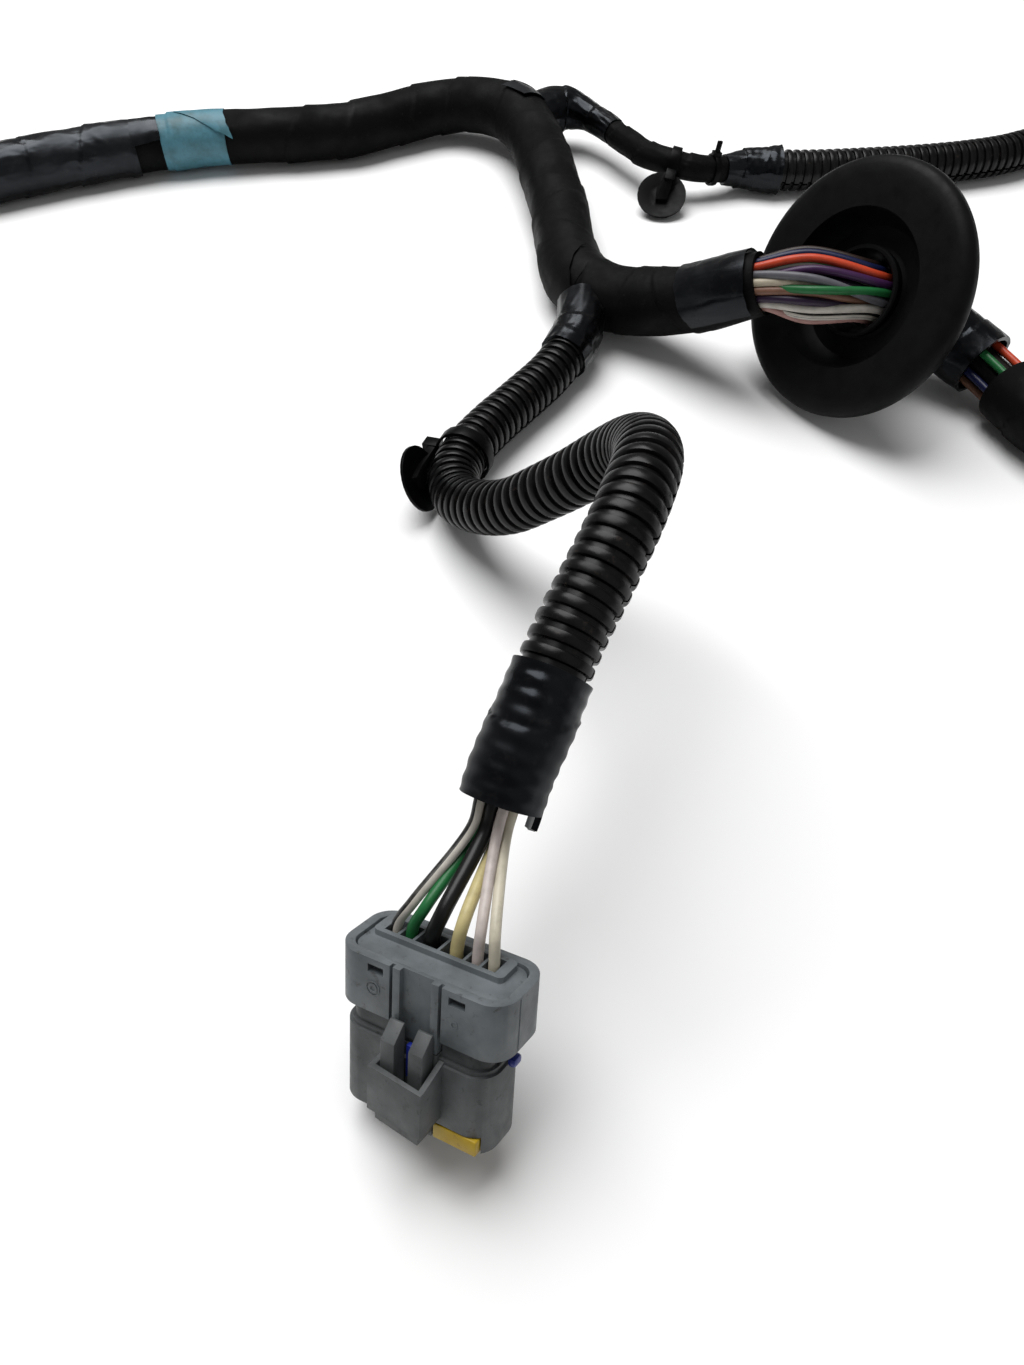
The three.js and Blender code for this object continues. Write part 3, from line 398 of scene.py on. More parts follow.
rearRoute = route([
    (117.6, 302.7, 31.8), (126.5, 307.5, 26), (136.5, 308, 20.6), (146, 303.5, 16.4), (154, 296, 13.4), (160, 286.5, 11.6),
    (164.5, 275, 11.2), (170.5, 262.5, 11.2), (179.5, 251.5, 11.2), (191, 243.5, 11.2), (205, 240.5, 11.4),
    (217, 239.5, 11.6),
])

tapes = {"lap": 0.6, "lapFade": 20, "sink": 0.3, "sides": 72, "step": 0.8, "wrinkle": 0.42, "clothWrinkle": 0.25,
         "twist": 70, "foldLength": 16}


def tapeSkin(sort, edges=(), swellings=()):
    # Wound tape. Each edge is (distance, slant, angle): the tape steps up there and dies away.
    # Each swelling is (distance, length, angle, height): what is under the tape pushes it out.
    rough = (tapes["wrinkle"] if sort == "vinyl" else tapes["clothWrinkle"]) * mm

    def skin(angle, distance):
        height = 0
        for at, slant, side in edges:
            past = distance / mm - at - slant * math.cos(angle - math.radians(side))
            if 0 <= past < tapes["lapFade"]:
                height = max(height, tapes["lap"] * mm * (1 - past / tapes["lapFade"]))
        height -= tapes["sink"] * tapes["lap"] * mm
        for at, length, side, high in swellings:
            near = math.exp(-((distance / mm - at) / length) ** 2)
            height += high * mm * near * max(0, math.cos(angle - math.radians(side))) ** 1.5
        twist = angle - distance / (tapes["twist"] * mm)
        spot = Vector((math.cos(twist) * 1.5, math.sin(twist) * 1.5, distance / (tapes["foldLength"] * mm)))
        fold = noise.noise(spot)
        if sort == "vinyl":
            crease = 1 - 3 * abs(noise.noise(spot * 1.7 + Vector((7, 3, 1))))
            return height + rough * (0.9 * fold + 0.6 * max(0, crease))
        return height + rough * (1.2 * fold + 0.6 * noise.noise(spot * 2.3))
    return skin


def sleeveProfile(start, end, diameter, endDiameter=None, step=1.0, mouth=None, easing=1.0):
    # Half outline of a filled section, with a hollow mouth at its end if asked
    radius = diameter / 2 * mm
    endRadius = (endDiameter or diameter) / 2 * mm
    count = max(2, round((end - start) / step))
    rows = [(0, start * mm)]
    for i in range(count + 1):
        t = i / count
        rows.append((radius + (endRadius - radius) * t ** easing, (start + (end - start) * t) * mm))
    if mouth:
        wall, depth = mouth
        inner = endRadius - wall * mm
        rows += [(inner, end * mm), (inner, (end - depth / 2) * mm), (inner, (end - depth) * mm), (0, (end - depth) * mm)]
    else:
        rows.append((0, end * mm))
    return rows


def wound(profile, line, sort, edges=(), swellings=(), hollow=None):
    # A turned profile with the tape's surface on its outside, laid along a line
    bm = turned(profile, tapes["sides"])
    wrapMap(bm)
    skin = tapeSkin(sort, edges, swellings)
    for vert in bm.verts:
        radius = math.hypot(vert.co.x, vert.co.y)
        inMouth = hollow and radius < hollow[0] * mm and vert.co.z > hollow[1] * mm
        if radius > 0.1 * mm and not inMouth:
            grown = 1 + skin(math.atan2(vert.co.y, vert.co.x), vert.co.z) / radius
            vert.co.x *= grown
            vert.co.y *= grown
    layAlong(bm, line)
    return bm


def tapeSection(name, line, start, end, diameter, look, slot, nodes, sort="cloth", edges=(), swellings=(), **shape):
    profile = sleeveProfile(start, end, diameter, step=tapes["step"], **shape)
    return keep(wound(profile, line, sort, edges, swellings), name, look, slot, *nodes, sharpest=60)


flaps = {"clear": 0.25, "ripple": 0.35, "ragged": 0.5, "fray": 0.25}


def makeFlap(name, line, radius, corners, look, slot, thick=0.25, lift=0.0, rows=(14, 12)):
    # A loose end of tape on a tube. The corners are (distance, angle), in order round the flap.
    bm = bmesh.new()
    bmesh.ops.create_grid(bm, x_segments=rows[0], y_segments=rows[1], size=1)
    uv = bm.loops.layers.uv.new("wrap")
    places = {}
    for vert in bm.verts:
        s, t = (vert.co.x + 1) / 2, (vert.co.y + 1) / 2
        shares = ((1 - s) * (1 - t), s * (1 - t), s * t, (1 - s) * t)
        distance, angle = [sum(share * corner[k] for share, corner in zip(shares, corners)) for k in (0, 1)]
        ragged = flaps["ragged"] * noise.noise(Vector((distance / 3, angle / 20, 1)))
        ragged += flaps["fray"] * noise.noise(Vector((distance, angle / 7, 5)))
        ripple = flaps["ripple"] * abs(noise.noise(Vector((distance / 6, angle / 30, 3))))
        high = radius + flaps["clear"] + ripple + lift * s * t
        point, side, over, _ = line.at((distance + ragged) * mm)
        turn = math.radians(angle)
        places[vert] = (math.radians(angle) * radius * mm, distance * mm)
        vert.co = point + (side * math.cos(turn) + over * math.sin(turn)) * high * mm
    for face in bm.faces:
        for loop in face.loops:
            loop[uv].uv = places[loop.vert]
    bmesh.ops.recalc_face_normals(bm, faces=bm.faces)
    bmesh.ops.solidify(bm, geom=bm.faces, thickness=thick * mm)
    return keep(bm, name, look, slot, sharpest=50)


trunk = {"leftD": 21.4, "midD": 22.6, "endD": 19.5, "taper": 40, "mouthDepth": 8, "tapeWall": 1.1,
         "vinylEnd": 151, "collarEnd": 162.5, "tealEnd": 190.5, "middleStart": 300, "rightStart": 462}


# Where the tape's edges cross the trunk: distance, slant, angle
trunkEdges = {
    "vinyl": ((24, 5, 60), (47, 4, 80), (66, 6, 40), (90, 3, 90), (104, 4, 120), (129, 4, 50), (149, 3, 100)),
    "left": ((220, 6, 40), (241, 5, 60), (270, 6, 50), (290, 5, 60)),
    "middle": ((322, 7, 170), (345, 6, 30), (371, 5, 160), (392, 6, 40), (408, 5, 150), (430, 8, 10), (446, 6, 60)),
    "right": ((461, 5, 190), (478, 4, 60), (498, 7, 250), (515, 9, 120)),
}


# Loose ends of tape: the trunk's width there, how far out of it, and the corners as (distance, angle)
looseEnds = {
    "vinylTapeTail": ("leftD", 0, ((151, 88), (162, 92), (163, 150), (150, 156)), vinyl, "vinyl_tape", {"lift": 0.5}),
    "tealTapeTail": ("leftD", 0.4, ((170, 84), (190, 96), (194, 160), (187, 142)), teal, "teal_tape", {"lift": 0.7}),
    "firstJunctionStrap": ("midD", 1.1, ((322, 100), (326, 40), (334, 20), (336, 86)), vinyl, "vinyl_tape", {}),
    "secondJunctionStrap": ("midD", 0.8, ((436, 150), (450, 70), (462, 150), (456, 235)), cloth, "cloth_tape", {}),
    "trunkEndStrap": ("endD", 1.3, ((499, 10), (527, 10), (527.5, 205), (507, 205)), junctionVinyl, "vinyl_tape",
                      {"rows": (14, 32)}),
}


def makeTrunk():
    t = trunk
    total = trunkRoute.length / mm
    left = tapeSection("vinylTapeLeft", trunkRoute, 0, t["vinylEnd"], t["leftD"], vinyl, "vinyl_tape",
                       ["vinyl_tape_left"], "vinyl", trunkEdges["vinyl"])
    trunkRoute.at(t["vinylEnd"] * mm)[0]
    trunkRoute.points(t["vinylEnd"] * mm, 0)
    tapeSection("clothTapeCollar", trunkRoute, t["vinylEnd"] - 1, t["collarEnd"] + 1, t["leftD"] - 0.6, cloth, "cloth_tape",
                ["cloth_tape_collar"])
    tapeSection("tealTapeBand", trunkRoute, t["collarEnd"], t["tealEnd"], t["leftD"] + 0.6, teal, "teal_tape",
                ["teal_tape_band"], "cloth", ((166, 1, 90), (169, 1, 90)))
    tapeSection("clothTapeLeft", trunkRoute, t["tealEnd"] - 2, t["middleStart"] + 1, t["leftD"], cloth, "cloth_tape",
                ["cloth_tape_left"], "cloth", trunkEdges["left"])
    tapeSection("clothTapeMiddle", trunkRoute, t["middleStart"], t["rightStart"], t["midD"], cloth, "cloth_tape",
                ["cloth_tape_middle"], "cloth", trunkEdges["middle"], ((326, 9, 20, 2.2), (452, 8, 200, 1.2)))
    rows = sleeveProfile(t["rightStart"] - 1, total - t["taper"], t["midD"], step=tapes["step"])[:-1]
    mouth = (t["tapeWall"], t["mouthDepth"])
    rows += sleeveProfile(total - t["taper"], total, t["midD"], t["endD"], tapes["step"], mouth)[2:]
    right = wound(rows, trunkRoute, "cloth", trunkEdges["right"],
                  hollow=(t["endD"] / 2 - t["tapeWall"] + 0.2, total - t["mouthDepth"] - 0.5))
    keep(right, "clothTapeRight", cloth, "cloth_tape", "cloth_tape_right", sharpest=60)
    for name, (size, more, corners, look, slot, shape) in looseEnds.items():
        makeFlap(name, trunkRoute, t[size] / 2 + more, corners, look, slot, **shape)



branch = {"d": 9.6, "taperStart": 106, "taperLength": 24, "conduitD": 15.8, "leadStart": 8, "rootStart": 1, "rootEnd": 48,
          "rootD": 18.5, "shoulder": 11, "slope": 22, "wrap": 1.1, "rib": 0.22, "ribsFrom": 0.35}
loom = {"pitch": 3.5, "depth": 0.95, "crest": 0.62, "sides": 44, "slit": 0.9, "wall": 0.7}


def loomProfile(start, end, diameter):
    # Half outline of corrugated conduit: flat-topped ribs with rounded shoulders
    crest = diameter / 2 * mm
    valley = crest - loom["depth"] * mm
    count = round((end - start) / loom["pitch"])
    pitch = (end - start) / count
    high = loom["crest"]
    rows = []
    for i in range(count):
        base = start + i * pitch
        for share, radius in ((0.0, valley), (0.5 - high / 2 - 0.04, valley), (0.5 - high / 2 + 0.03, crest - 0.15 * mm),
                              (0.5 - high / 4, crest), (0.5 + high / 4, crest), (0.5 + high / 2 - 0.03, crest - 0.15 * mm),
                              (0.5 + high / 2 + 0.04, valley)):
            rows.append((radius, (base + share * pitch) * mm))
    rows.append((valley, end * mm))
    return rows


def makeLoom(name, line, start, end, diameter, slot, nodes, slitAt):
    # Split conduit: the spin stops short of a full turn, and the wall is thickened inwards
    opening = loom["slit"] / (diameter / 2)
    bm = turned(loomProfile(start, end, diameter), loom["sides"], opening, math.radians(slitAt))
    bmesh.ops.recalc_face_normals(bm, faces=bm.faces)
    outward = sum(face.normal.dot(face.calc_center_median() * Vector((1, 1, 0))) for face in bm.faces)
    if outward < 0:
        bmesh.ops.reverse_faces(bm, faces=bm.faces)
    bmesh.ops.solidify(bm, geom=bm.faces, thickness=loom["wall"] * mm)
    wrapMap(bm)
    layAlong(bm, line)
    return keep(bm, name, conduitBlack, slot, *nodes, sharpest=50)


def makeBranch():
    b = branch
    total = branchRoute.length / mm
    lead = tapeSection("branchLead", branchRoute, b["leadStart"], b["taperStart"] + 1, b["d"] + 0.5, cloth, "vinyl_tape",
                       ["branch_tape"], "cloth", ((52, 3, 60), (69, 3, 90), (88, 2, 60)))
    start = b["leadStart"] * mm
    branchRoute.at(start)[0]
    branchRoute.points(start, (b["taperStart"] + 1) * mm)
    # The root is fat where the branch's wires leave the trunk
    rows = [(0, b["rootStart"] * mm)]
    for i in range(b["rootEnd"] - b["rootStart"] + 1):
        t = min(1, max(0, (i - b["shoulder"]) / b["slope"]))
        width = b["rootD"] + (b["d"] + 0.9 - b["rootD"]) * (3 * t * t - 2 * t ** 3)
        rows.append((width / 2 * mm, (b["rootStart"] + i) * mm))
    rows.append((0, b["rootEnd"] * mm))
    root = wound(rows, branchRoute, "vinyl", ((16, 2, 90), (24, 2, 60), (33, 2, 100)))
    keep(root, "branchRootWrap", junctionVinyl, "vinyl_tape", sharpest=60)
    # The wrap climbs onto the conduit, whose ribs press through towards its end
    wrapEnd = b["taperStart"] + b["taperLength"]
    count = round(b["taperLength"] / 0.4)
    rows = [(0, b["taperStart"] * mm)]
    for i in range(count + 1):
        climb = i / count
        at = b["taperStart"] + climb * b["taperLength"]
        ribs = b["rib"] * math.sin(2 * math.pi * at / loom["pitch"]) * max(0, climb - b["ribsFrom"])
        rows.append(((b["d"] / 2 + b["wrap"] + (b["conduitD"] - b["d"]) / 2 * climb + ribs) * mm, at * mm))
    rows.append((0, rows[-1][1]))
    keep(wound(rows, branchRoute, "vinyl", ((113, 2, 90), (122, 3, 60))), "branchTaperWrap", junctionVinyl, "vinyl_tape",
         "branch_taper_wrap", sharpest=60)
    run = makeLoom("branchConduit", branchRoute, wrapEnd - 2, total, b["conduitD"], "conduit", ["branch_conduit"], 200)
    start = (wrapEnd - 2) * mm
    branchRoute.at(start)[0]
    branchRoute.points(start, total * mm)


conduit = {"d": 15.4, "rootD": 17, "rootLength": 30, "rootStart": 1, "sleeve": 27, "sleeveWall": 0.5, "slitAt": -12}


def makeConduit():
    c = conduit
    total = conduitRoute.length / mm
    tapeSection("conduitRootWrap", conduitRoute, c["rootStart"], c["rootLength"], c["rootD"] + 0.4, junctionVinyl,
                "vinyl_tape", ["conduit_root_wrap"], "vinyl", ((15, 2, 90), (22, 3, 60)),
                endDiameter=c["rootD"] - 0.7, easing=0.8)
    run = makeLoom("mainConduit", conduitRoute, c["rootLength"] - 2, total, c["d"], "conduit", ["main_conduit"], c["slitAt"])
    start = (c["rootLength"] - 2) * mm
    conduitRoute.at(start)[0]
    conduitRoute.points(start, total * mm)
    # Tape over the conduit's last ribs, drawn in a little between them
    outer = (c["d"] / 2 + 0.3 + c["sleeveWall"]) * mm
    inner = (c["d"] / 2 + 0.2) * mm
    first = total - c["sleeve"]
    rows = []
    for i in range(round(c["sleeve"] / 0.5) + 1):
        at = first + i * 0.5
        rows.append((outer + 0.11 * mm * math.cos(2 * math.pi * (at - first) / loom["pitch"]), at * mm))
    rows += [(inner, total * mm), (inner, first * mm), rows[0]]
    bm = turned(rows, tapes["sides"])
    wrapMap(bm)
    skin = tapeSkin("cloth", ((first + 9, 4, 90),))
    reshape(bm, lambda angle, distance: 0.6 * skin(angle, distance))
    layAlong(bm, conduitRoute)
    keep(bm, "conduitEndTape", sleeveVinyl, "vinyl_tape", "conduit_end_tape", sharpest=60)


def makeWire(name, line, diameter, look, slot, nodes, start=None, end=None, sides=14, step=1.2):
    start = 0 if start is None else start
    end = line.length / mm if end is None else end
    bm = turned(sleeveProfile(start, end, diameter, step=step), sides)
    wrapMap(bm)
    layAlong(bm, line)
    return keep(bm, name, look, slot, *nodes, sharpest=60)


connector = {"centre": (-13.1, 76.7, 36.1), "yaw": -35.5, "pitch": -29.4, "roll": -15.7, "rowX": -0.9, "rowY": 2.5,
             "cavities": (2.9, 2.9, 5, 5, 2.9, 2.9), "between": 0.6, "rim": 1.2}


def connectorFrame():
    axes = (("yaw", "Z"), ("pitch", "X"), ("roll", "Y"))
    turn = [Matrix.Rotation(math.radians(connector[key]), 4, axis) for key, axis in axes]
    return Matrix.Translation(place(*connector["centre"])) @ turn[0] @ turn[1] @ turn[2]


onConnector = connectorFrame()
legWires = {
    "white_black": ("whiteBlack", 2.3, (-3.6, -2.4)), "green": ("green", 2.3, (-3, 1.8)),
    "black": ("black", 3.1, (-1, -1.5)), "yellow": ("yellow", 2.6, (0.9, 1.6)),
    "pink_white": ("pinkWhite", 2.2, (1.6, -2.6)), "cream": ("legCream", 2.2, (3.1, -0.9)),
}

legRun = {"mouth": ((7,), (6,), (0,), (-6, 1.5)), "gather": 0.84, "shift": 1, "rise": 0.8, "above": 6.5, "seat": 5}


def makeLegWires():
    widths = connector["cavities"]
    total = sum(widths) + connector["between"] * (len(widths) - 1)
    mouth, _, _, along = conduitRoute.at(conduitRoute.length)
    inward = -along
    side = -Vector((0, 0, 1)).cross(inward).normalized()
    over = inward.cross(side)
    left = connector["rowX"] - total / 2
    for width, (name, (look, diameter, spread)) in zip(widths, legWires.items()):
        middle = left + width / 2
        left += width + connector["between"]

        def inMouth(back, lift=0.0):
            return mouth + (inward * back + side * spread[0] + over * (spread[1] + lift)) * mm

        def inConnector(x, y, z):
            return onConnector @ (Vector((x, y, z)) * mm)

        run = legRun
        line = Route([*(inMouth(*step) for step in run["mouth"]),
                      inConnector(middle * run["gather"] + run["shift"], connector["rowY"] + run["rise"], run["above"]),
                      inConnector(middle, connector["rowY"], connector["rim"]),
                      inConnector(middle, connector["rowY"], -run["seat"])])
        wire = makeWire("legWire_" + name, line, diameter, insulation[look], "wire_" + name, ["leg_wire_" + name])


makeTrunk()
makeBranch()
makeConduit()
makeLegWires()
print("cords laid")


# Rubber grommet, one moulding of revolution

grommet = {
    "centre": (105.2, 295.3, 38.9), "facing": (-0.769, -0.456, 0.448), "flangeR": 39.1, "flangeThick": 7.5,
    "rimRound": 2.6, "holeR": 24, "wellDepth": 11, "wellFloorR": 20, "collarR": 14, "collarInnerR": 12.2,
    "collarTop": 5, "neckWall": 2.2, "neckInnerR": 10.2, "neckEnd": 16, "grooveR": 27.5, "grooveWidth": 2.4,
    "lipR": 30.2, "lipDepth": 2.4, "shoulderR": 15.5, "sides": 128,
}


def grommetFrame():
    turn = Vector((0, 0, 1)).rotation_difference(Vector(grommet["facing"]).normalized())
    return Matrix.Translation(place(*grommet["centre"])) @ turn.to_matrix().to_4x4()


onGrommet = grommetFrame()


def makeGrommet():
    g = grommet
    back = -g["flangeThick"]
    lip = back - g["grooveWidth"]
    neckR = g["neckInnerR"] + g["neckWall"]
    rim = g["rimRound"]
    outline = [
        (g["holeR"], 0), (g["flangeR"] - 2.4 * rim, 0), (g["flangeR"] - 1.2 * rim, -0.35),
        (g["flangeR"] - 0.55 * rim, -1.1), (g["flangeR"] - 0.15 * rim, -2.2), (g["flangeR"], -rim - 1),
        (g["flangeR"], back + 1.8), (g["flangeR"] - 0.5, back + 0.6), (g["flangeR"] - 1.6, back),
        (g["grooveR"] + 0.4, back), (g["grooveR"], back - 0.4), (g["grooveR"], lip + 0.3), (g["grooveR"] + 0.3, lip),
        (g["lipR"], lip - 0.4), (g["lipR"] - 0.4, lip - 1.2), (g["lipR"] - 2.4, lip - g["lipDepth"]),
        (g["shoulderR"] + 3, -g["neckEnd"] + 4), (neckR, -g["neckEnd"] + 2), (neckR, -g["neckEnd"] + 0.4),
        (neckR - 0.4, -g["neckEnd"]), (g["neckInnerR"] + 0.3, -g["neckEnd"]), (g["neckInnerR"], -g["neckEnd"] + 0.4),
        (g["neckInnerR"], -g["collarTop"] - 5), (g["collarInnerR"], -g["collarTop"] - 0.5),
        (g["collarInnerR"] + 0.5, -g["collarTop"]), (g["collarR"] - 0.5, -g["collarTop"]),
        (g["collarR"], -g["collarTop"] - 0.6), (g["collarR"] - 0.4, -g["wellDepth"] + 2.3),
        (g["collarR"] + 0.6, -g["wellDepth"] + 1.5), (g["wellFloorR"], -g["wellDepth"] + 1.5),
        (g["wellFloorR"] + 1.5, -g["wellDepth"] + 2.6), (g["holeR"] - 0.8, -5), (g["holeR"] - 0.25, -0.9),
        (g["holeR"], 0),
    ]
    bm = turned([(r * mm, z * mm) for r, z in outline], g["sides"])
    bmesh.ops.transform(bm, matrix=onGrommet, verts=bm.verts)
    keep(bm, "grommetMoulding", rubberBlack, "grommet_rubber", "grommet", sharpest=35)


# Wires that cross from the trunk's tape into the grommet. Each has a place across the bundle,
# upwards and towards the viewer, at the tape, in the middle and in the neck.

bundle = {
    "brown": ("brown", (7.2, 0), (10.4, 0), (8.4, 1)), "navy": ("navy", (6.6, 2.6), (9.4, 2.6), (7.4, 3.6)),
    "orange": ("orange", (5.4, 4.8), (7.9, 5.2), (5.9, 5.9)), "violet": ("violet", (1.6, 4.2), (4.6, 7.4), (3.8, 7.6)),
    "grey": ("grey", (3.2, 6.4), (1.8, 9.6), (-1.2, 8.3)), "cream": ("cream", (0.9, 7.2), (0.2, 7.2), (0.2, 5.6)),
    "tan": ("tan", (-1.6, 7.1), (-2.2, 7.8), (-2.4, 5.6)), "green": ("green", (-1, 4.4), (-1.4, 10.2), (1.4, 8.4)),
    "plum": ("plum", (-3.9, 6), (-4.8, 8.2), (-4.6, 3.6)), "white": ("white", (-5.6, 4.2), (-7, 6.8), (-3.8, 7.5)),
    "pink": ("pink", (-6.8, 2), (-10.2, 2), (-7.6, 3.6)),
}
bundleWireD = 2.6
moreWires = {
    "umber": ("brown", (4.9, 1.2), (7, 1.4), (5.6, 2)), "whiteGreen": ("whiteGreen", (3.6, 2.8), (6.2, 4), (3.4, 4.6)),
    "whiteBlack": ("whiteBlack", (-7.2, -0.4), (-9, 4.6), (-6.2, 6)), "sand": ("tan", (-3.4, 3.2), (-4.2, 5.6), (-2, 3)),
    "pinkWhite": ("pinkWhite", (-5, 0.6), (-7.2, 2.8), (-5, 1)),
}


def bundleStations():
    facing = Vector(grommet["facing"]).normalized()
    end = place(*grommet["centre"]) - facing * (grommet["neckEnd"] - 1) * mm
    mouth = place(*grommet["centre"]) - facing * grommet["collarTop"] * mm
    start, _, _, along = trunkRoute.at(trunkRoute.length - 6 * mm)
    edge = trunkRoute.at(trunkRoute.length)[0]
    middle = start.lerp(mouth, 0.55) + Vector((-1, -1, 2)) * mm
    eye = place(0, 0, view["height"])
    rows = []
    bend = (along - facing).normalized()
    for point, way in ((start, along), (edge, along), (middle, bend), (mouth, -facing), (end, -facing)):
        near = (eye - point).normalized()
        near = (near - way * near.dot(way)).normalized()
        rows.append((point, way.cross(near) if way.cross(near).z > 0 else near.cross(way), near))
    return rows


moreSlots = {"umber": "brown", "whiteGreen": "white", "whiteBlack": "white_black", "sand": "tan", "pinkWhite": "pink_white"}


def makeBundle():
    rows = bundleStations()
    for name, (look, atTape, atMiddle, inNeck) in [*bundle.items(), *moreWires.items()]:
        offsets = (atTape, atTape, atMiddle, inNeck, inNeck)
        line = Route([point + (up * u + near * n) * mm for (point, up, near), (u, n) in zip(rows, offsets)])
        nodes = ["bundle_wire_" + name] if name in bundle else []
        slot = name if nodes else moreSlots[name]
        makeWire("bundleWire_" + name, line, bundleWireD, insulation[look], "wire_" + slot, nodes)


makeGrommet()
makeBundle()
print("grommet and bundle made")


# Rear leg

rear = {"d": 21.6, "start": 1.2, "wrapLength": 50, "gapLength": 13, "ringR": 7, "wireD": 2.6,
        "tuck": 4.7, "wall": 1.1, "mouth": 5,
        "wires": ("brown", "orange", "green", "navy", "tan", "black")}


def makeRearLeg():
    r = rear
    total = rearRoute.length / mm
    gapEnd = r["wrapLength"] + r["gapLength"]
    rows = sleeveProfile(r["start"], r["wrapLength"], r["d"], step=tapes["step"], mouth=(r["wall"], r["mouth"]))
    wrap = wound(rows, rearRoute, "vinyl", ((12, 4, 90), (24, 4, 60), (37, 4, 110)),
                 hollow=(r["d"] / 2 - r["wall"] + 0.2, r["wrapLength"] - r["mouth"] - 0.5))
    keep(wrap, "rearVinylWrap", junctionVinyl, "vinyl_tape", "rear_vinyl_wrap", sharpest=60)
    tapeSection("rearTape", rearRoute, gapEnd, total, r["d"], cloth, "cloth_tape", ["rear_tape"], "cloth",
                ((78, 4, 90), (103, 4, 60)))

    def acrossGap(k):
        return (r["wrapLength"] - r["tuck"] + (r["gapLength"] + 2 * r["tuck"]) * k / 4) * mm

    for i, name in enumerate(r["wires"]):
        angle = 2 * math.pi * i / len(r["wires"])
        points = []
        for k in range(5):
            point, _, _, along = rearRoute.at(acrossGap(k))
            side = Vector((0, 0, 1)).cross(along).normalized()
            points.append(point + (side * math.cos(angle) + along.cross(side) * math.sin(angle)) * r["ringR"] * mm)
        makeWire("rearWire_" + name, Route(points), r["wireD"], insulation[name], "wire_" + name, ["rear_wire_" + name])
    middle = Route([rearRoute.at(acrossGap(k))[0] for k in range(5)])
    makeWire("rearInnerWires", middle, 2 * r["ringR"] - 3, insulation["black"], "wire_black", [], sides=24)


makeRearLeg()
print("rear leg made")


# Moulded pieces that keep their CAD form, with softened edges

def softened(nodeName, name, look, slot, width=0.25, segments=2):
    bm = bmesh.new()
    bm.from_mesh(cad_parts[nodeName].data)
    bmesh.ops.remove_doubles(bm, verts=bm.verts, dist=2e-6)
    bmesh.ops.dissolve_limit(bm, angle_limit=math.radians(2), verts=bm.verts, edges=bm.edges)
    bmesh.ops.dissolve_degenerate(bm, dist=1e-6, edges=bm.edges)
    edges = [edge for edge in bm.edges if len(edge.link_faces) == 2 and edge.calc_face_angle() > math.radians(38)]
    bmesh.ops.bevel(bm, geom=edges, offset=width * mm, offset_type="OFFSET", segments=segments, profile=0.5,
                    affect="EDGES", clamp_overlap=True, material=-1)
    return keep(bm, name, look, slot, nodeName, sharpest=32)


moulded = {
    "connector_cap": ("connectorCap", capGrey, "connector_cap"),
    "connector_rear_plate": ("connectorRearPlate", capGrey, "connector_cap"),
    "connector_housing": ("connectorHousing", housingGrey, "connector_grey"),
    "connector_latch": ("connectorLatch", housingGrey, "connector_grey"),
    "terminal_block": ("terminalBlock", housingGrey, "connector_grey"),
    "mating_seal": ("matingSeal", sealBlue, "blue_seal"),
    "terminal_lock": ("terminalLock", lockYellow, "yellow_lock"),
    "branch_clip": ("branchClip", nylonBlack, "clip_nylon"),
    "branch_tie": ("branchTie", nylonBlack, "clip_nylon"),
    "conduit_clip": ("conduitClip", nylonBlack, "clip_nylon"),
}
for nodeName, (name, look, slot) in moulded.items():
    softened(nodeName, name, look, slot)


def dress(nodeName, look):
    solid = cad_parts[nodeName]
    solid.data.materials.clear()
    solid.data.materials.append(look)


for nodeName in ("left_plug", "branch_plug", "rear_plug"):
    dress(nodeName, plugGrey)
for i in range(1, 7):
    dress("terminal_%d" % i, tinned)
dress("bundle_inner_wires", insulation["plum"])
print("moulded pieces made")


# Small things on the connector: the seal that shows in two places, mould marks and a moulding seam

def blockOn(name, size, centre, look, slot, width=0.2):
    bm = bmesh.new()
    bmesh.ops.create_cube(bm, size=1)
    bmesh.ops.scale(bm, vec=[length * mm for length in size], verts=bm.verts)
    bmesh.ops.bevel(bm, geom=bm.edges, offset=width * mm, offset_type="OFFSET", segments=2, profile=0.5, affect="EDGES",
                    clamp_overlap=True, material=-1)
    bmesh.ops.translate(bm, vec=Vector(centre) * mm, verts=bm.verts)
    bmesh.ops.transform(bm, matrix=onConnector, verts=bm.verts)
    return keep(bm, name, look, slot, sharpest=35)


def ringOn(name, radius, wide, centre, look, slot):
    outer = radius + wide
    bm = turned([(radius * mm, -0.4 * mm), (radius * mm, 0.12 * mm), (outer * mm, 0.12 * mm), (outer * mm, -0.4 * mm),
                 (radius * mm, -0.4 * mm)], 40)
    onFace = onConnector @ Matrix.Translation(Vector(centre) * mm) @ Matrix.Rotation(math.pi / 2, 4, "X")
    bmesh.ops.transform(bm, matrix=onFace, verts=bm.verts)
    return keep(bm, name, look, slot, sharpest=35)


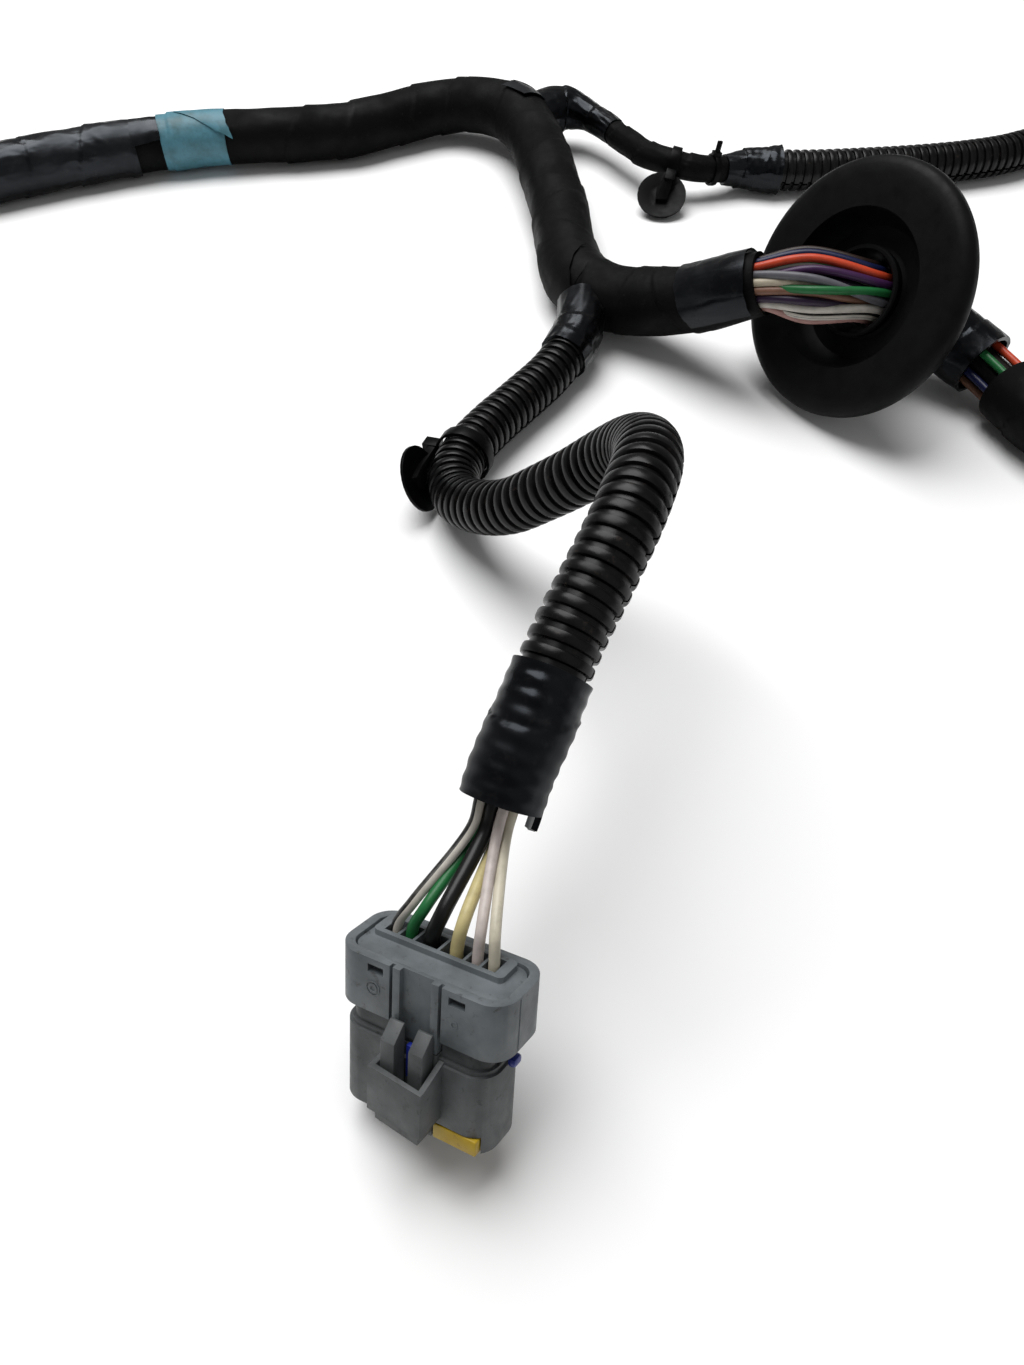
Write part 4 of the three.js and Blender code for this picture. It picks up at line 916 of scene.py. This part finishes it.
trim = {"front": -8.1, "strip": ((1.3, 1.2, 7), (-0.6, -8.1, -18.2)), "bump": ((1.8, 2.8, 1.9), (17.2, -0.8, -14.9)),
        "seam": ((0.5, 0.5, 11), (18.4, -2.2, -5.9)),
        "marks": ((1.35, 0.22, (-9.4, -6.2)), (0.5, 0.5, (-9.4, -6.2)), (0.55, 0.18, (8.6, -6.6)))}
blockOn("sealStrip", *trim["strip"], sealBlue, "blue_seal")
blockOn("sealEdge", *trim["bump"], sealBlue, "blue_seal", 0.7)
blockOn("capSeam", *trim["seam"], capGrey, "connector_cap", 0.15)
for i, (radius, wide, (x, z)) in enumerate(trim["marks"]):
    ringOn("mouldMark%d" % (i + 1), radius, wide, (x, trim["front"], z), capGrey, "connector_cap")


tail = {"corners": ((-5, -34), (3.6, -30), (3, 6), (-5, 14)), "clear": 0.4, "thick": 1.3}


def makeTail():
    # The cut end of the sleeve's tape, which stands out below its right edge
    total = conduitRoute.length / mm
    _, side, over, _ = conduitRoute.at(conduitRoute.length)
    right = math.degrees(math.atan2(over.x, side.x))
    corners = [(total + distance, right + angle) for distance, angle in tail["corners"]]
    makeFlap("endTapeTail", conduitRoute, conduit["d"] / 2 + tail["clear"], corners, sleeveVinyl, "vinyl_tape",
             thick=tail["thick"])


makeTail()
print("small pieces made")


# Floor and studio light

studio = {"floor": 3.0, "floorColour": (0.88, 0.88, 0.88), "drop": 0.0005, "world": 0.18,
          "lamps": {"key": (47, 1.5, (-0.35, 0.6, 1.65)), "fill": (2, 1.6, (0.9, -0.9, 1.0))}}


def makeStudio():
    bm = bmesh.new()
    bmesh.ops.create_grid(bm, x_segments=1, y_segments=1, size=studio["floor"])
    mesh = bpy.data.meshes.new("floor")
    bm.to_mesh(mesh)
    bm.free()
    paper = newLook("floorPaper", studio["floorColour"], 0.9, Specular_IOR_Level=0.1)
    mesh.materials.append(paper)
    floor = bpy.data.objects.new("floor", mesh)
    floor.location.z = -studio["drop"]
    bpy.context.collection.objects.link(floor)
    for name, (energy, size, spot) in studio["lamps"].items():
        lamp = bpy.data.lights.new(name, "AREA")
        lamp.energy = energy
        lamp.size = size
        light = bpy.data.objects.new(name, lamp)
        light.location = spot
        light.rotation_euler = (-Vector(spot)).to_track_quat("-Z", "Y").to_euler()
        bpy.context.collection.objects.link(light)
    world = bpy.data.worlds.new("studio")
    world.use_nodes = True
    world.node_tree.nodes["Background"].inputs["Color"].default_value = (1, 1, 1, 1)
    world.node_tree.nodes["Background"].inputs["Strength"].default_value = studio["world"]
    bpy.context.scene.world = world
    bpy.context.scene.view_settings.view_transform = "Standard"


makeStudio()
print("studio lit")
